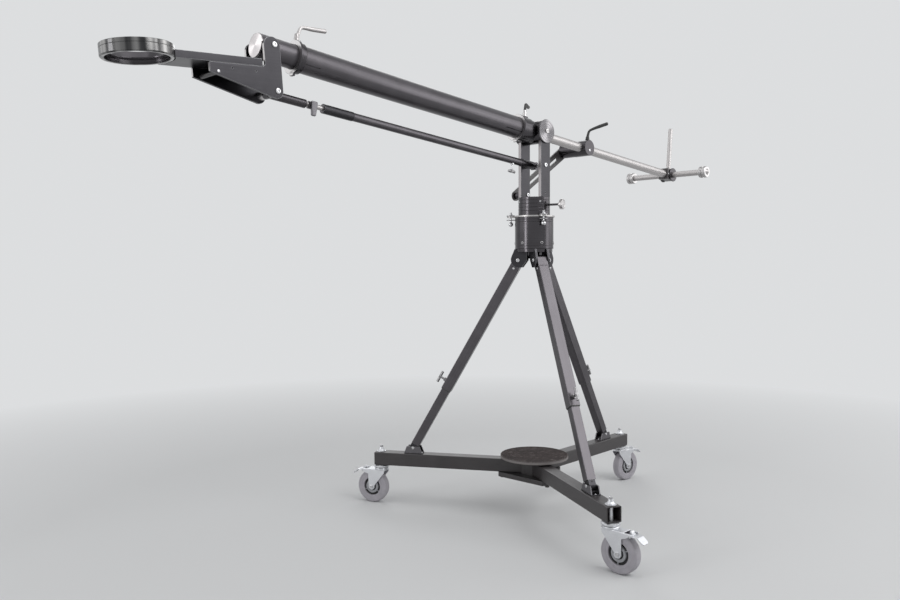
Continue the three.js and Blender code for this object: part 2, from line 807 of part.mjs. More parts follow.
function legLock(name) {
  const end = lockBossHeight + lockStudLength;
  const stud = bar("x", lockStudRadius, legSlideGap - upperLegWall, end, smallSides);
  const handle = bar("z", lockBarRadius, -lockBarLength / 2, lockBarLength / 2, smallSides, [end, 0]);
  return piece("leg_lock_" + name, join(stud, handle), finish.turnedGrey);
}

function tripod() {
  const legs = legNames.map((name, i) => {
    const lock = group([upperLegWidth / 2, 0, -legLockAt], null, 0, legLock(name));
    const leaning = group(
      [crownPinRadius, 0, crownPinHeight],
      "y",
      -legLean,
      upperLeg(name),
      lowerLeg(name),
      lock,
    );
    return group([0, 0, 0], "z", dollyTurn + (i * fullTurn) / legCount, leaning);
  });
  return group([0, 0, 0], null, 0, crown(), riser(), tieDownPlate(), panBase(), ...legs);
}

function riser() {
  const inner = riserRadius - riserWall;
  const low = riserBottom + riserGrooveInset;
  const high = riserTop - riserGrooveInset;
  const waist = riserRadius - riserGroove;
  const profile = [
    [inner, riserBottom],
    [riserRadius, riserBottom],
    [riserRadius, low],
    [waist, low],
    [waist, low + riserGrooveWidth],
    [riserRadius, low + riserGrooveWidth],
    [riserRadius, high],
    [waist, high],
    [waist, high + riserGrooveWidth],
    [riserRadius, high + riserGrooveWidth],
    [riserRadius, riserTop],
    [0, riserTop],
    [0, riserTop - riserRoof],
    [inner, riserTop - riserRoof],
    [inner, riserBottom],
  ];
  return piece("riser", turned(profile, wideSides), finish.blackAnodised);
}

const tieBottom = riserTop + seatGap;
const tieTop = tieBottom + tieThick;

function tieDownPlate() {
  const discTop = tieBottom - tieDiscDrop;
  const screws = legNames.map((name, i) => {
    const angle = dollyTurn + (i * fullTurn) / legCount;
    const at = [tieLugRadius * Math.cos(angle), tieLugRadius * Math.sin(angle)];
    const ball = new THREE.SphereGeometry(tieBallRadius, smallSides, smallSides / 2);
    ball.rotateX(quarterTurn).translate(...at, tieBottom - tiePinDown);
    return join(
      bar("z", tieLugSize, tieBottom, tieTop, roundSides, at),
      bar("z", tiePinRadius, tieBottom - tiePinDown, tieTop + tiePinUp, smallSides, at),
      bar("z", tieDiscRadius, tieTop - seatGap, tieTop + tieDiscThick, roundSides, at),
      bar("z", tieDiscRadius, discTop - tieDiscThick, discTop, roundSides, at),
      solid(ball),
    );
  });
  return piece(
    "tie_down_plate",
    join(bar("z", tieRadius, tieBottom, tieTop, wideSides), ...screws),
    finish.turnedGrey,
  );
}

function panBase() {
  const inner = spigotRadius + runGap;
  const bottom = tieTop + seatGap;
  const top = panSplit - runGap;
  const groove = top - neckGrooveWidth;
  const profile = [
    [inner, bottom],
    [neckRadius, bottom],
    [neckRadius, groove],
    [neckRadius - neckGroove, groove],
    [neckRadius - neckGroove, top],
    [inner, top],
    [inner, bottom],
  ];
  return piece("pan_base", turned(profile, wideSides), finish.blackAnodised);
}

// Pan head and post

function panHead() {
  const groove = neckTop - neckGrooveDrop;
  const waist = neckRadius - neckGroove;
  const profile = [
    [0, panSplit - spigotLength],
    [spigotRadius, panSplit - spigotLength],
    [spigotRadius, panSplit],
    [neckRadius, panSplit],
    [neckRadius, groove],
    [waist, groove],
    [waist, groove + neckGrooveWidth],
    [neckRadius, groove + neckGrooveWidth],
    [neckRadius, neckTop],
    [0, neckTop],
  ];
  return piece("pan_head", turned(profile, wideSides), finish.blackAnodised);
}

function panKnob() {
  const stem = bar("x", panStemRadius, seatGap, panStemLength, smallSides);
  const knob = bar("x", panKnobRadius, panStemLength - seatGap, panStemLength + panKnobThick, roundSides);
  return piece("pan_knob", join(stem, knob), finish.bareAluminium);
}

// The near upright carries the level rod's pin and the far one the strut's pin.
function upright(side) {
  const [near, far] = [-uprightOuter, -uprightOuter + uprightThick];
  const half = uprightWidth / 2;
  const post = box([-half, near, neckTop + seatGap], [half, far, pivotHeight]);
  const housing = bar("y", housingRadius, near, near + housingDepth, wideSides, [0, pivotHeight]);
  const bearing = bar(
    "y",
    pivotAxleRadius + runGap,
    near - cutOver,
    near + housingDepth + cutOver,
    roundSides,
    [0, pivotHeight],
  );
  const pinAt = [0, pivotHeight - levelDrop];
  const body = cut(join(post, housing), bearing);
  if (side === "near") {
    const pin = bar("y", levelPinRadius, near, -far + uprightThick / 2, smallSides, pinAt);
    const head = bar("y", levelHeadRadius, near - levelHeadThick, near + seatGap, smallSides, pinAt);
    return piece("upright_near", join(body, pin, head), finish.blackAnodised);
  }
  const mirrored = body.mirror([0, 1, 0]);
  const pinHole = bar("y", levelPinRadius + seatGap, -far - cutOver, -near + cutOver, smallSides, pinAt);
  const strutAt = [strutPinBack, pivotHeight - strutPinDrop];
  const strutEnd = strutSide + strutThick + 2 * runGap;
  return piece(
    "upright_far",
    join(
      cut(mirrored, pinHole),
      bar("y", strutSpacerRadius, -near - seatGap, strutSide - runGap, smallSides, strutAt),
      bar("y", strutPinRadius, -near, strutEnd, smallSides, strutAt),
      bar("y", strutWasherRadius, strutEnd, strutEnd + strutWasherThick, smallSides, strutAt),
      bar("y", levelHeadRadius, -far - levelHeadThick, -far + seatGap, smallSides, strutAt),
    ),
    finish.blackAnodised,
  );
}

function pivotAxle() {
  const inner = uprightOuter + seatGap;
  const outer = inner + capThick;
  const ends = [-1, 1].map((sign) =>
    join(
      bar("y", capRadius, sign * inner, sign * outer, wideSides),
      bar("y", capBoltRadius, sign * (outer - seatGap), sign * (outer + capBoltThick), smallSides),
    ),
  );
  const shaft = bar("y", pivotAxleRadius, -inner - seatGap, inner + seatGap, roundSides);
  return piece("pivot_axle", join(shaft, ...ends), finish.blackAnodised);
}

function post() {
  const knob = group(
    [neckRadius * Math.cos(panKnobAngle), neckRadius * Math.sin(panKnobAngle), panSplit + panKnobRise],
    "z",
    panKnobAngle,
    panKnob(),
  );
  const axle = group([0, 0, pivotHeight], null, 0, pivotAxle());
  return group([0, 0, 0], null, 0, panHead(), knob, upright("near"), upright("far"), axle);
}

// Boom: drawn level about the main pivot, with the camera end towards -X.

// A clamping collar around the boom, from one place to another: a front flange with a keel under it,
// and a raised seat for the lever at a place of its own.
function collarBody(from, to, leverAt) {
  const flangeRadius = collarRadius + flangeRise;
  const ring = bar("x", collarRadius, -to, -from, wideSides);
  const flange = bar("x", flangeRadius, -to, -to + collarFlangeThick, wideSides);
  const keelBottom = -flangeRadius - keelRise;
  const keel = box(
    [-to, -keelWidth / 2, keelBottom],
    [-to + collarFlangeThick, keelWidth / 2, -outerRadius],
  );
  const seat = box(
    [-leverAt - lugLength / 2, -lugWidth / 2, outerRadius],
    [-leverAt + lugLength / 2, lugWidth / 2, flangeRadius],
  );
  return join(ring, flange, keel, seat);
}

function pivotBlock() {
  const half = uprightOuter - housingDepth - barrelGap;
  const barrel = bar("y", housingRadius, -half, half, wideSides);
  const mouth = collarShoulder + rearCollarLength;
  const socket = bar("x", outerRadius + seatGap, -mouth - cutOver, -collarShoulder, wideSides);
  const sleeve = cut(collarBody(collarShoulder - seatGap, mouth, rearLeverAt), socket);
  const spigotEnd = collarShoulder + blockSpigotLength;
  const spigotRound = outerRadius - outerWall - runGap;
  const spigot = bar("x", spigotRound, -spigotEnd, -collarShoulder + seatGap, wideSides);
  const neck = bar("x", blockRadius, -collarShoulder, 0, wideSides);
  const axleHole = bar("y", pivotAxleRadius + runGap, -half - cutOver, half + cutOver, roundSides);
  const tailHole = bar(
    "x",
    tailRadius + seatGap,
    housingRadius - tailSocketDepth,
    housingRadius + cutOver,
    roundSides,
  );
  const scoops = [-1, 1].map((sign) =>
    bar("y", housingRadius + barrelGap, sign * half, sign * collarRadius, wideSides),
  );
  const body = join(barrel, cut(neck, ...scoops), sleeve, spigot);
  return piece("pivot_block", cut(body, axleHole, tailHole), finish.blackAnodised);
}

function outerTube() {
  const start = collarShoulder + seatGap;
  const tube = bar("x", outerRadius, -outerEnd, -start, wideSides);
  const bore = bar("x", outerRadius - outerWall, -outerEnd - cutOver, -start + cutOver, wideSides);
  const lowered = (from, to) =>
    box([-to, -outerRadius - cutOver, -slitWidth / 2], [-from, 0, slitWidth / 2]).rotate([
      inDegrees(slitDrop),
      0,
      0,
    ]);
  const slits = [
    lowered(outerEnd - slitLength, outerEnd + cutOver),
    lowered(start - cutOver, start + rearSlitLength),
  ];
  return piece("outer_tube", cut(tube, bore, ...slits), finish.blackAnodised);
}

function frontCollar() {
  const front = outerEnd + frontLipLength;
  const back = front - frontCollarLength;
  const socket = bar("x", outerRadius + seatGap, -outerEnd - seatGap, -back + cutOver, wideSides);
  const mouth = bar("x", innerRadius + runGap, -front - cutOver, -outerEnd, wideSides);
  const body = collarBody(back, front, frontLeverAt);
  return piece("front_collar", cut(body, socket, mouth), finish.blackAnodised);
}

// A clamping lever about its stud's axis, with its arm leaning away towards +X.
function lever(name, reach, shares, material) {
  const path = new THREE.CatmullRomCurve3(
    shares.map(([out, up]) => new THREE.Vector3(reach * out, 0, reach * up)),
  );
  const section = outline(
    Array.from({ length: leverSections }, (unused, i) => {
      const angle = (i * fullTurn) / leverSections;
      return [leverArmRadius * Math.cos(angle), leverArmRadius * Math.sin(angle)];
    }),
  );
  const arm = new THREE.ExtrudeGeometry(section, {
    steps: leverSteps,
    bevelEnabled: false,
    extrudePath: path,
  });
  const stud = bar("z", leverStudRadius, seatGap, leverStudHeight + seatGap, smallSides);
  return piece(name, join(stud, solid(arm)), material);
}

function innerTube() {
  const tube = bar("x", innerRadius, -innerEnd, -innerStart, wideSides);
  const plugBack = innerEnd - headPlug;
  const bore = bar("x", innerRadius - innerWall, -plugBack, -innerStart + cutOver, wideSides);
  const disc = bar(
    "x",
    innerRadius - headDiscInset,
    -innerEnd - headDiscThick,
    -innerEnd + seatGap,
    wideSides,
  );
  const pinHole = bar(
    "y",
    platePinRadius + runGap,
    -innerRadius - cutOver,
    innerRadius + cutOver,
    roundSides,
    [-boomReach, 0],
  );
  return piece("inner_tube", cut(join(tube, disc), bore, pinHole), finish.blackAnodised);
}

function tailBar() {
  const start = housingRadius - tailSocketDepth + seatGap;
  const end = weightAt - tailBlockFront + tailBlockSocket - seatGap;
  return piece("tail_bar", bar("x", tailRadius, start, end, roundSides), finish.bareAluminium);
}

function tailBlock() {
  const front = weightAt - tailBlockFront;
  const back = weightAt + tailBlockBack;
  const wide = tailBlockWidth / 2;
  const high = tailBlockHeight / 2;
  const body = box([front, -wide, -high], [back, wide, high]);
  const socket = bar("x", tailRadius + seatGap, front - cutOver, front + tailBlockSocket, roundSides);
  const bore = bar("y", spindleRadius + seatGap, -wide - cutOver, wide + cutOver, roundSides, [
    weightAt,
    0,
  ]);
  const studHole = bar("z", handleStudRadius + seatGap, 0, high + cutOver, smallSides, [weightAt, 0]);
  return piece("tail_block", cut(body, socket, bore, studHole), finish.blackPaint);
}

// The spindle for the weights, with the handle rod screwed into it through the top of the block.
function weightSpindle() {
  const inner = tailBlockWidth / 2 + seatGap;
  const foot = tailBlockHeight / 2 + seatGap;
  return piece(
    "weight_spindle",
    join(
      bar("y", spindleRadius, -spindleNear, spindleFar),
      bar("y", flangeRadius, -inner - flangeThick, -inner),
      bar("y", flangeRadius, inner, inner + flangeThick),
      bar("z", handleStudRadius, 0, foot + seatGap, smallSides),
      bar("z", handleRadius, foot, foot + handleLength),
    ),
    finish.bareAluminium,
  );
}

function retainer(name) {
  const half = retainerLength / 2;
  const groove = retainerGrooveWidth / 2;
  const waist = retainerRadius - retainerGroove;
  const bore = spindleRadius + runGap;
  const profile = [
    [bore, -half],
    [retainerRadius, -half],
    [retainerRadius, -groove],
    [waist, -groove],
    [waist, groove],
    [retainerRadius, groove],
    [retainerRadius, half],
    [bore, half],
    [bore, -half],
  ];
  return piece(name, turned(profile, roundSides).rotate([90, 0, 0]), finish.bareAluminium);
}

// The clamp that slides on the tail bar, with an upright slot in its far end for the strut's pin.
function strutClamp() {
  const neckEnd = strutSide - runGap;
  const slotFloor = neckEnd - clampPinDepth - 2 * runGap;
  const half = clampPinRadius + clampSlotGap;
  const wide = bar("y", clampRadius, -clampNear, clampWide, roundSides);
  const neck = bar("y", clampNeckRadius, clampWide - seatGap, neckEnd, roundSides);
  const bore = bar("x", tailRadius + runGap, -clampRadius - cutOver, clampRadius + cutOver, roundSides);
  const slot = box([-half, slotFloor, -clampSlotDown], [half, neckEnd + cutOver, clampSlotUp]);
  const ends = [-clampSlotDown, clampSlotUp].map((place) =>
    bar("y", half, slotFloor, neckEnd + cutOver, roundSides, [0, place]),
  );
  return piece("strut_clamp", cut(join(wide, neck), bore, slot, ...ends), finish.blackAnodised);
}

function boom() {
  const seatTop = collarRadius + flangeRise;
  const rearLever = lever("rear_lever", rearLeverReach, leverShares, finish.blackPaint);
  const frontLever = lever("front_lever", frontLeverReach, leverShares, finish.bareAluminium);
  const strutLever = lever("strut_lever", strutLeverReach, strutLeverShares, finish.blackPaint);
  return group(
    [0, 0, pivotHeight],
    "y",
    boomTilt,
    pivotBlock(),
    outerTube(),
    frontCollar(),
    innerTube(),
    tailBar(),
    tailBlock(),
    group([-rearLeverAt, 0, seatTop], "z", rearLeverTurn, rearLever),
    group([-frontLeverAt, 0, seatTop], null, 0, frontLever),
    group([strutClampAt, 0, 0], null, 0, strutClamp()),
    group([strutClampAt, clampLeverInset - clampNear, clampRadius], "z", strutLeverTurn, strutLever),
    group([weightAt, 0, 0], null, 0, weightSpindle()),
    group([weightAt, retainerInset - spindleNear, 0], null, 0, retainer("retainer_near")),
    group([weightAt, spindleFar - retainerInset, 0], null, 0, retainer("retainer_far")),
  );
}

// Brake strut: a flat bar with a long slit, from its lower pin on the far upright to a pin of its own
// that runs in the clamp's slot.

const clampPlace = [
  strutClampAt * Math.cos(boomTilt) - clampPinDrop * Math.sin(boomTilt),
  -strutClampAt * Math.sin(boomTilt) - clampPinDrop * Math.cos(boomTilt),
];
const strutLength = Math.hypot(clampPlace[0] - strutPinBack, clampPlace[1] + strutPinDrop);
const strutRise = Math.atan2(clampPlace[1] + strutPinDrop, clampPlace[0] - strutPinBack);

function strut() {
  const [near, far] = [strutSide, strutSide + strutThick];
  const end = strutLength + strutHeadLength;
  const plate = outline([
    [0, -strutFootRadius],
    [end, -strutHeadDown],
    [end, strutHeadUp],
    [0, strutFootRadius],
  ]);
  const half = strutSlitWidth / 2;
  const slit = outline([
    [strutSlitStart, -half],
    [strutLength - strutSlitEnd, strutSlitRise - half],
    [strutLength - strutSlitEnd, strutSlitRise + half],
    [strutSlitStart, half],
  ]);
  const pinFoot = near - runGap - clampPinDepth;
  const body = join(
    cut(slab(plate, near, far), slab(slit, near - cutOver, far + cutOver)),
    bar("y", strutFootRadius, near, far, roundSides),
    bar("y", clampPinRadius, pinFoot, far, smallSides, [strutLength, 0]),
    bar("y", strutWasherRadius, far - seatGap, far + strutWasherThick, smallSides, [strutLength, 0]),
  );
  const pinHole = bar("y", strutPinRadius + runGap, near - cutOver, far + cutOver, roundSides);
  return piece("strut", cut(body, pinHole), finish.blackPaint);
}

// Level rod: from the lower pin of the post to the lower pin of the platform.

const frontPivot = [-boomReach * Math.cos(boomTilt), boomReach * Math.sin(boomTilt)];
const lowerFront = [
  frontPivot[0] + levelDrop * Math.sin(platformPitch),
  frontPivot[1] - levelDrop * Math.cos(platformPitch) + levelDrop,
];
const levelLength = Math.hypot(...lowerFront);
const levelTilt = Math.atan2(lowerFront[1], -lowerFront[0]);

function levelTube() {
  const half = eyeWidth / 2;
  const sleeveFront = levelTubeFront - frontSleeveLength;
  const body = join(
    bar("y", eyeRadius, -half, half, roundSides),
    bar("x", rearSleeveRadius, -rearSleeveLength, -eyeRadius / 2, roundSides),
    bar("x", levelTubeRadius, -levelTubeFront, -rearSleeveLength + seatGap, roundSides),
    bar("x", frontSleeveRadius, -levelTubeFront, -sleeveFront, roundSides),
    bar(
      "z",
      knobBossRadius,
      -levelTubeRadius - knobBossDrop,
      -levelTubeRadius / 2,
      smallSides,
      [-rearKnobAt, 0],
    ),
  );
  const bore = bar("x", levelRodRadius + runGap, -levelTubeFront - cutOver, -levelBoreBack, roundSides);
  const pinHole = bar("y", levelPinRadius + runGap, -half - cutOver, half + cutOver, smallSides);
  return piece("level_tube", cut(body, bore, pinHole), finish.blackAnodised);
}

function levelRod() {
  const half = eyeWidth / 2;
  const fittingBack = levelLength - frontFittingLength;
  const stop = stopCollarLength / 2;
  const body = join(
    bar("x", levelRodRadius, -fittingBack - seatGap, -levelRodBack, roundSides),
    bar("x", frontFittingRadius, -levelLength + eyeRadius / 2, -fittingBack, roundSides),
    bar("y", eyeRadius, -half, half, roundSides, [-levelLength, 0]),
    bar("x", stopCollarRadius, -stopCollarAt - stop, -stopCollarAt + stop, smallSides),
  );
  const pinHole = bar("y", platePinRadius + openPinGap, -half - cutOver, half + cutOver, roundSides, [
    -levelLength,
    0,
  ]);
  return piece("level_rod", cut(body, pinHole), finish.bareAluminium);
}

// The rear knob hangs under the tube, with its stud along -Z and a cross bar on it.
function levelKnobRear() {
  const foot = -knobStudLength;
  const stud = bar("z", knobStudRadius, foot, -seatGap, smallSides);
  const handle = bar("x", knobBarRadius, -knobBarLength / 2, knobBarLength / 2, smallSides, [0, foot]);
  return piece("level_knob_rear", join(stud, handle), finish.blackPaint);
}

// The front knob is a tapered paddle that hangs down from a stud along -Y in the stop collar's near side.
function levelKnobFront() {
  const back = -paddleStudLength;
  const [wide, narrow] = [paddleTopWidth / 2, paddleFootWidth / 2];
  const paddle = outline([
    [-narrow, -paddleDown],
    [narrow, -paddleDown],
    [wide, paddleUp],
    [-wide, paddleUp],
  ]);
  const stud = bar("y", knobStudRadius, back - seatGap, -seatGap, smallSides);
  const wing = slab(paddle, back - paddleThick, back);
  return piece("level_knob_front", join(stud, wing), finish.blackPaint);
}

function levelLink() {
  return group(
    [0, 0, pivotHeight - levelDrop],
    "y",
    levelTilt,
    levelTube(),
    levelRod(),
    group([-rearKnobAt, 0, -levelTubeRadius - knobBossDrop], null, 0, levelKnobRear()),
    group([-stopCollarAt, -stopCollarRadius, 0], null, 0, levelKnobFront()),
  );
}

// Platform: drawn level about the front pivot.

function plateOutline() {
  const earRadius = (earBack + earFront) / 2;
  const earX = (earBack - earFront) / 2;
  const earZ = earTop - earRadius;
  const [noseX, noseZ] = [-plateNose, -plateNoseDrop];
  const toNose = Math.atan2(noseZ + levelDrop, noseX + plateHeelFront);
  const spread = Math.acos(plateHeelRadius / Math.hypot(noseX + plateHeelFront, noseZ + levelDrop));
  const shape = new THREE.Shape();
  shape.moveTo(-plateNose, -plateStep);
  shape.lineTo(-plateNose, -plateNoseDrop);
  shape.lineTo(
    -plateHeelFront + plateHeelRadius * Math.cos(toNose + spread),
    -levelDrop + plateHeelRadius * Math.sin(toNose + spread),
  );
  shape.absarc(-plateHeelFront, -levelDrop, plateHeelRadius, toNose + spread - fullTurn, 0, false);
  shape.lineTo(earBack, earZ);
  shape.absarc(earX, earZ, earRadius, 0, Math.PI, false);
  shape.lineTo(-earFront, -plateStep + plateFillet);
  shape.lineTo(-earFront - plateFillet, -plateStep);
  return shape;
}

function sidePlate(side) {
  const outer = plateInner + plateThick;
  const lowerAt = [0, -levelDrop];
  const crossAt = [-crossTubeX, -crossTubeDrop];
  if (side === "near") {
    const plate = slab(plateOutline(), -outer, -plateInner);
    const spacerEnd = eyeWidth / 2 + spacerGap;
    const boltEnd = -outer - plateBoltThick;
    const bolt = (at) => bar("y", plateBoltRadius, boltEnd, -outer + seatGap, smallSides, at);
    return piece(
      "side_plate_near",
      join(
        plate,
        bar("y", platePinRadius, -outer, outer - plateThick / 2, smallSides),
        bar("y", platePinRadius, -outer, outer - plateThick / 2, smallSides, lowerAt),
        bar("y", spacerRadius, -plateInner - seatGap, -spacerEnd, roundSides, lowerAt),
        bar("y", spacerRadius, spacerEnd, plateInner - seatGap, roundSides, lowerAt),
        bolt([0, 0]),
        bolt(lowerAt),
      ),
      finish.blackAnodised,
    );
  }
  const plate = slab(plateOutline(), plateInner, outer);
  const holes = [[0, 0], lowerAt].map((at) =>
    bar("y", platePinRadius + seatGap, plateInner - cutOver, outer + cutOver, smallSides, at),
  );
  const [tubeNear, tubeFar] = [-plateInner + seatGap, plateInner + seatGap];
  const crossTube = bar("y", crossTubeRadius, tubeNear, tubeFar, smallSides, crossAt);
  return piece("side_plate_far", join(cut(plate, ...holes), crossTube), finish.blackAnodised);
}

function cameraArm() {
  const half = plateInner + plateThick;
  const bottom = -plateStep + seatGap;
  const top = bottom + cameraArmThick;
  const arm = box([-bowlX, -half, bottom], [-cameraArmBack, half, top]);
  const blockHalf = plateInner - seatGap;
  const under = box(
    [-armBlockFront, -blockHalf, bottom - armBlockDepth],
    [-armBlockBack, blockHalf, bottom + armBlockDepth],
  );
  const scoopRadius = (bowlRadius + seatGap) / Math.cos(Math.PI / wideSides);
  const scoop = bar("z", scoopRadius, bottom - cutOver, top + cutOver, wideSides, [-bowlX, 0]);
  return piece("camera_arm", cut(join(arm, under), scoop), finish.blackAnodised);
}

function bowlRing() {
  const profile = [
    [bowlSkirtRadius, 0],
    [bowlRadius - bowlChamfer, 0],
    [bowlRadius, bowlChamfer],
    [bowlRadius, bowlHeight],
    [bowlMouthRadius, bowlHeight],
    [bowlLipRadius, bowlLipHeight],
    [bowlLipRadius, bowlSkirtHeight],
    [bowlSkirtRadius, bowlSkirtHeight],
    [bowlSkirtRadius, 0],
  ];
  return piece("bowl_ring", turned(profile, wideSides), finish.turnedGrey);
}

function platform() {
  return group(
    [frontPivot[0], 0, pivotHeight + frontPivot[1]],
    "y",
    -platformPitch,
    sidePlate("near"),
    sidePlate("far"),
    cameraArm(),
    group([-bowlX, 0, -plateStep + seatGap], null, 0, bowlRing()),
  );
}

// The whole crane, moved so that the origin is on the floor under the middle of its box.
const crane = new THREE.Group();
crane.add(
  dolly(),
  tripod(),
  post(),
  boom(),
  group([strutPinBack, 0, pivotHeight - strutPinDrop], "y", -strutRise, strut()),
  levelLink(),
  platform(),
);
crane.updateMatrixWorld(true);
const extent = new THREE.Box3().setFromObject(crane, true);
const middle = extent.getCenter(new THREE.Vector3());
crane.position.set(-middle.x, -middle.y, -extent.min.z);

export default crane;
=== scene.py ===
import json
import math

import bmesh
import bpy
from mathutils import Matrix, Vector
from mathutils.geometry import tessellate_polygon


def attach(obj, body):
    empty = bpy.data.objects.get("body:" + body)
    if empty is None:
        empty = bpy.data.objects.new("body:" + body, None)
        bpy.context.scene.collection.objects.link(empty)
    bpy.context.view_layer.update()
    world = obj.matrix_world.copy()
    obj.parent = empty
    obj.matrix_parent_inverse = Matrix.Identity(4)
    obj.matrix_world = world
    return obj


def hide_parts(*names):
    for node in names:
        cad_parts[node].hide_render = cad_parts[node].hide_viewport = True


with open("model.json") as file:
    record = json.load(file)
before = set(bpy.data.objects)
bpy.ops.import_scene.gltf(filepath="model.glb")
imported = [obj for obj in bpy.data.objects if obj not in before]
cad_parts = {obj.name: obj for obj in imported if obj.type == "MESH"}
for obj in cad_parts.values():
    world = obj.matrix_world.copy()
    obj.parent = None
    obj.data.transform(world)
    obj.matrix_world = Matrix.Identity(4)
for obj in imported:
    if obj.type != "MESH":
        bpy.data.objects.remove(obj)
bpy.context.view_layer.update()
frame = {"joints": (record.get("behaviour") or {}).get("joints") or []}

# Dolly arms
# Three square steel tubes, powder coated satin black and open at their outer ends, where the casters'
# stems pass through. Each butts against a flat of the hub's six-sided post.


class Reading:
    """A socket that other nodes read. Sums on it add Math nodes."""

    def __init__(self, tree, socket):
        self.tree, self.socket = tree, socket

    def worked(self, operation, *values, clamp=False):
        node = self.tree.nodes.new("ShaderNodeMath")
        node.operation, node.use_clamp = operation, clamp
        for place, value in zip(node.inputs, values):
            if isinstance(value, Reading):
                self.tree.links.new(value.socket, place)
            else:
                place.default_value = value
        return Reading(self.tree, node.outputs[0])

    def __add__(self, other):
        return self.worked("ADD", self, other)

    def __mul__(self, other):
        return self.worked("MULTIPLY", self, other)

    def __sub__(self, other):
        return self.worked("SUBTRACT", self, other)

    def __rsub__(self, other):
        return self.worked("SUBTRACT", other, self)

    def __pow__(self, other):
        return self.worked("POWER", self, other)

    __radd__, __rmul__ = __add__, __mul__

    def past(self, level, steepness):
        """0 below a level and 1 above it, with a slope between."""
        return self.worked("MULTIPLY", self - level, steepness, clamp=True)


class Nodes:
    """A tree that nodes are added to, each with its settings and what feeds its sockets."""

    def __init__(self, tree):
        self.tree = tree

    def node(self, kind, settings=None, sockets=None, output=0):
        made = self.tree.nodes.new(kind)
        for name, value in (settings or {}).items():
            setattr(made, name, value)
        self.wire(made, sockets or {})
        return Reading(self.tree, made.outputs[output])

    def wire(self, node, sockets):
        for name, value in sockets.items():
            if isinstance(value, Reading):
                self.tree.links.new(value.socket, node.inputs[name])
            else:
                node.inputs[name].default_value = value
        return self


class Finish(Nodes):
    """A finish made of nodes, which reads where a point lies on its own body and whether on an edge."""

    def __init__(self, name):
        self.material = bpy.data.materials.new(name)
        self.material.use_nodes = True
        super().__init__(self.material.node_tree)
        self.shader = self.tree.nodes["Principled BSDF"]
        self.own = self.node("ShaderNodeAttribute", {"attribute_name": "own"}, output="Vector")
        self.edge = self.node("ShaderNodeAttribute", {"attribute_name": "edge"}, output="Fac")

    def surface(self, sockets):
        return self.wire(self.shader, sockets)

    def grain(self, size, stretch=(1, 1, 1), detail=3, on=None):
        """Noise whose grains are size metres wide, and longer by stretch along each of the body's axes."""
        sizes = [size * times for times in stretch]
        cells = self.node("ShaderNodeVectorMath", {"operation": "DIVIDE"}, {0: on or self.own, 1: sizes})
        return self.node("ShaderNodeTexNoise", {}, {"Vector": cells, "Scale": 1, "Detail": detail})

    def blend(self, share, first, second):
        return self.node("ShaderNodeMix", {"data_type": "RGBA"}, {0: share, 6: first, 7: second}, output=2)

    def dents(self, height, depth):
        return self.node("ShaderNodeBump", {}, {"Height": height, "Distance": depth, "Strength": 1})


def satin_paint(name, dark, light, roughness):
    """A paint or plastic, clouded and rubbed a little, chipped along its edges and with a fine peel."""
    made = Finish(name)
    cloud = made.grain(0.06, detail=4)
    rubbed = made.grain(0.004, (1, 1, 14))
    chipped = (made.edge * made.grain(0.012)).past(0.62, 9)
    peel = made.grain(0.0016, detail=1)
    coat = made.blend(cloud * 0.6 + rubbed * 0.4, dark, light)
    return made.surface({
        "Base Color": made.blend(chipped, coat, (0.13, 0.125, 0.12, 1)),
        "Metallic": chipped * 0.7,
        "Roughness": roughness + (cloud - 0.5) * 0.25 + (rubbed - 0.5) * 0.2,
        "Normal": made.dents(peel, 0.00008),
    })


black_paint = satin_paint("satin black paint", (0.022, 0.02, 0.021, 1), (0.06, 0.054, 0.056, 1), 0.36)


def rounded(points, radius, steps=2, closed=True):
    """An outline with its corners rounded: (x, y, whether the next stretch is part of a corner)."""
    made = []
    for i, corner in enumerate(points):
        if not radius or (not closed and i in (0, len(points) - 1)):
            made.append((*corner, False))
            continue
        corner = Vector(corner)
        back = Vector(points[i - 1]) - corner
        onward = Vector(points[(i + 1) % len(points)]) - corner
        bend = math.pi - back.angle(onward)
        if bend < math.radians(25):
            made.append((*corner, False))
            continue
        reach = min(radius * math.tan(bend / 2), 0.45 * min(back.length, onward.length))
        start, end = corner + back.normalized() * reach, corner + onward.normalized() * reach
        for step in range(steps + 1):
            share = step / steps
            point = start * (1 - share) ** 2 + corner * 2 * share * (1 - share) + end * share**2
            made.append((*point, step < steps))
    return made


def sealed(body):
    """Turns a closed body's faces outwards and notes each corner's place on it, for the finishes."""
    bmesh.ops.recalc_face_normals(body, faces=body.faces)
    body.normal_update()
    layers = body.verts.layers.float_vector
    own = layers.get("own") or layers.new("own")
    for corner in body.verts:
        corner[own] = corner.co / 1000
    return body


def lofted(rings, marks, closed=False):
    """A skin over rings of points. A ring of one point closes an end, and a mark makes a stretch an edge."""
    body = bmesh.new()
    edge = body.faces.layers.float.new("edge")
    rows = [[body.verts.new(point) for point in ring] for ring in rings]
    for i in range(len(rows) if closed else len(rows) - 1):
        low, high = rows[i], rows[(i + 1) % len(rows)]
        count = max(len(low), len(high))
        for k in range(count):
            n = (k + 1) % count
            corners = [low[k], low[n]] if len(low) > 1 else [low[0]]
            corners += [high[n], high[k]] if len(high) > 1 else [high[0]]
            if len(corners) > 2:
                body.faces.new(corners)[edge] = marks[i]
    return sealed(body)


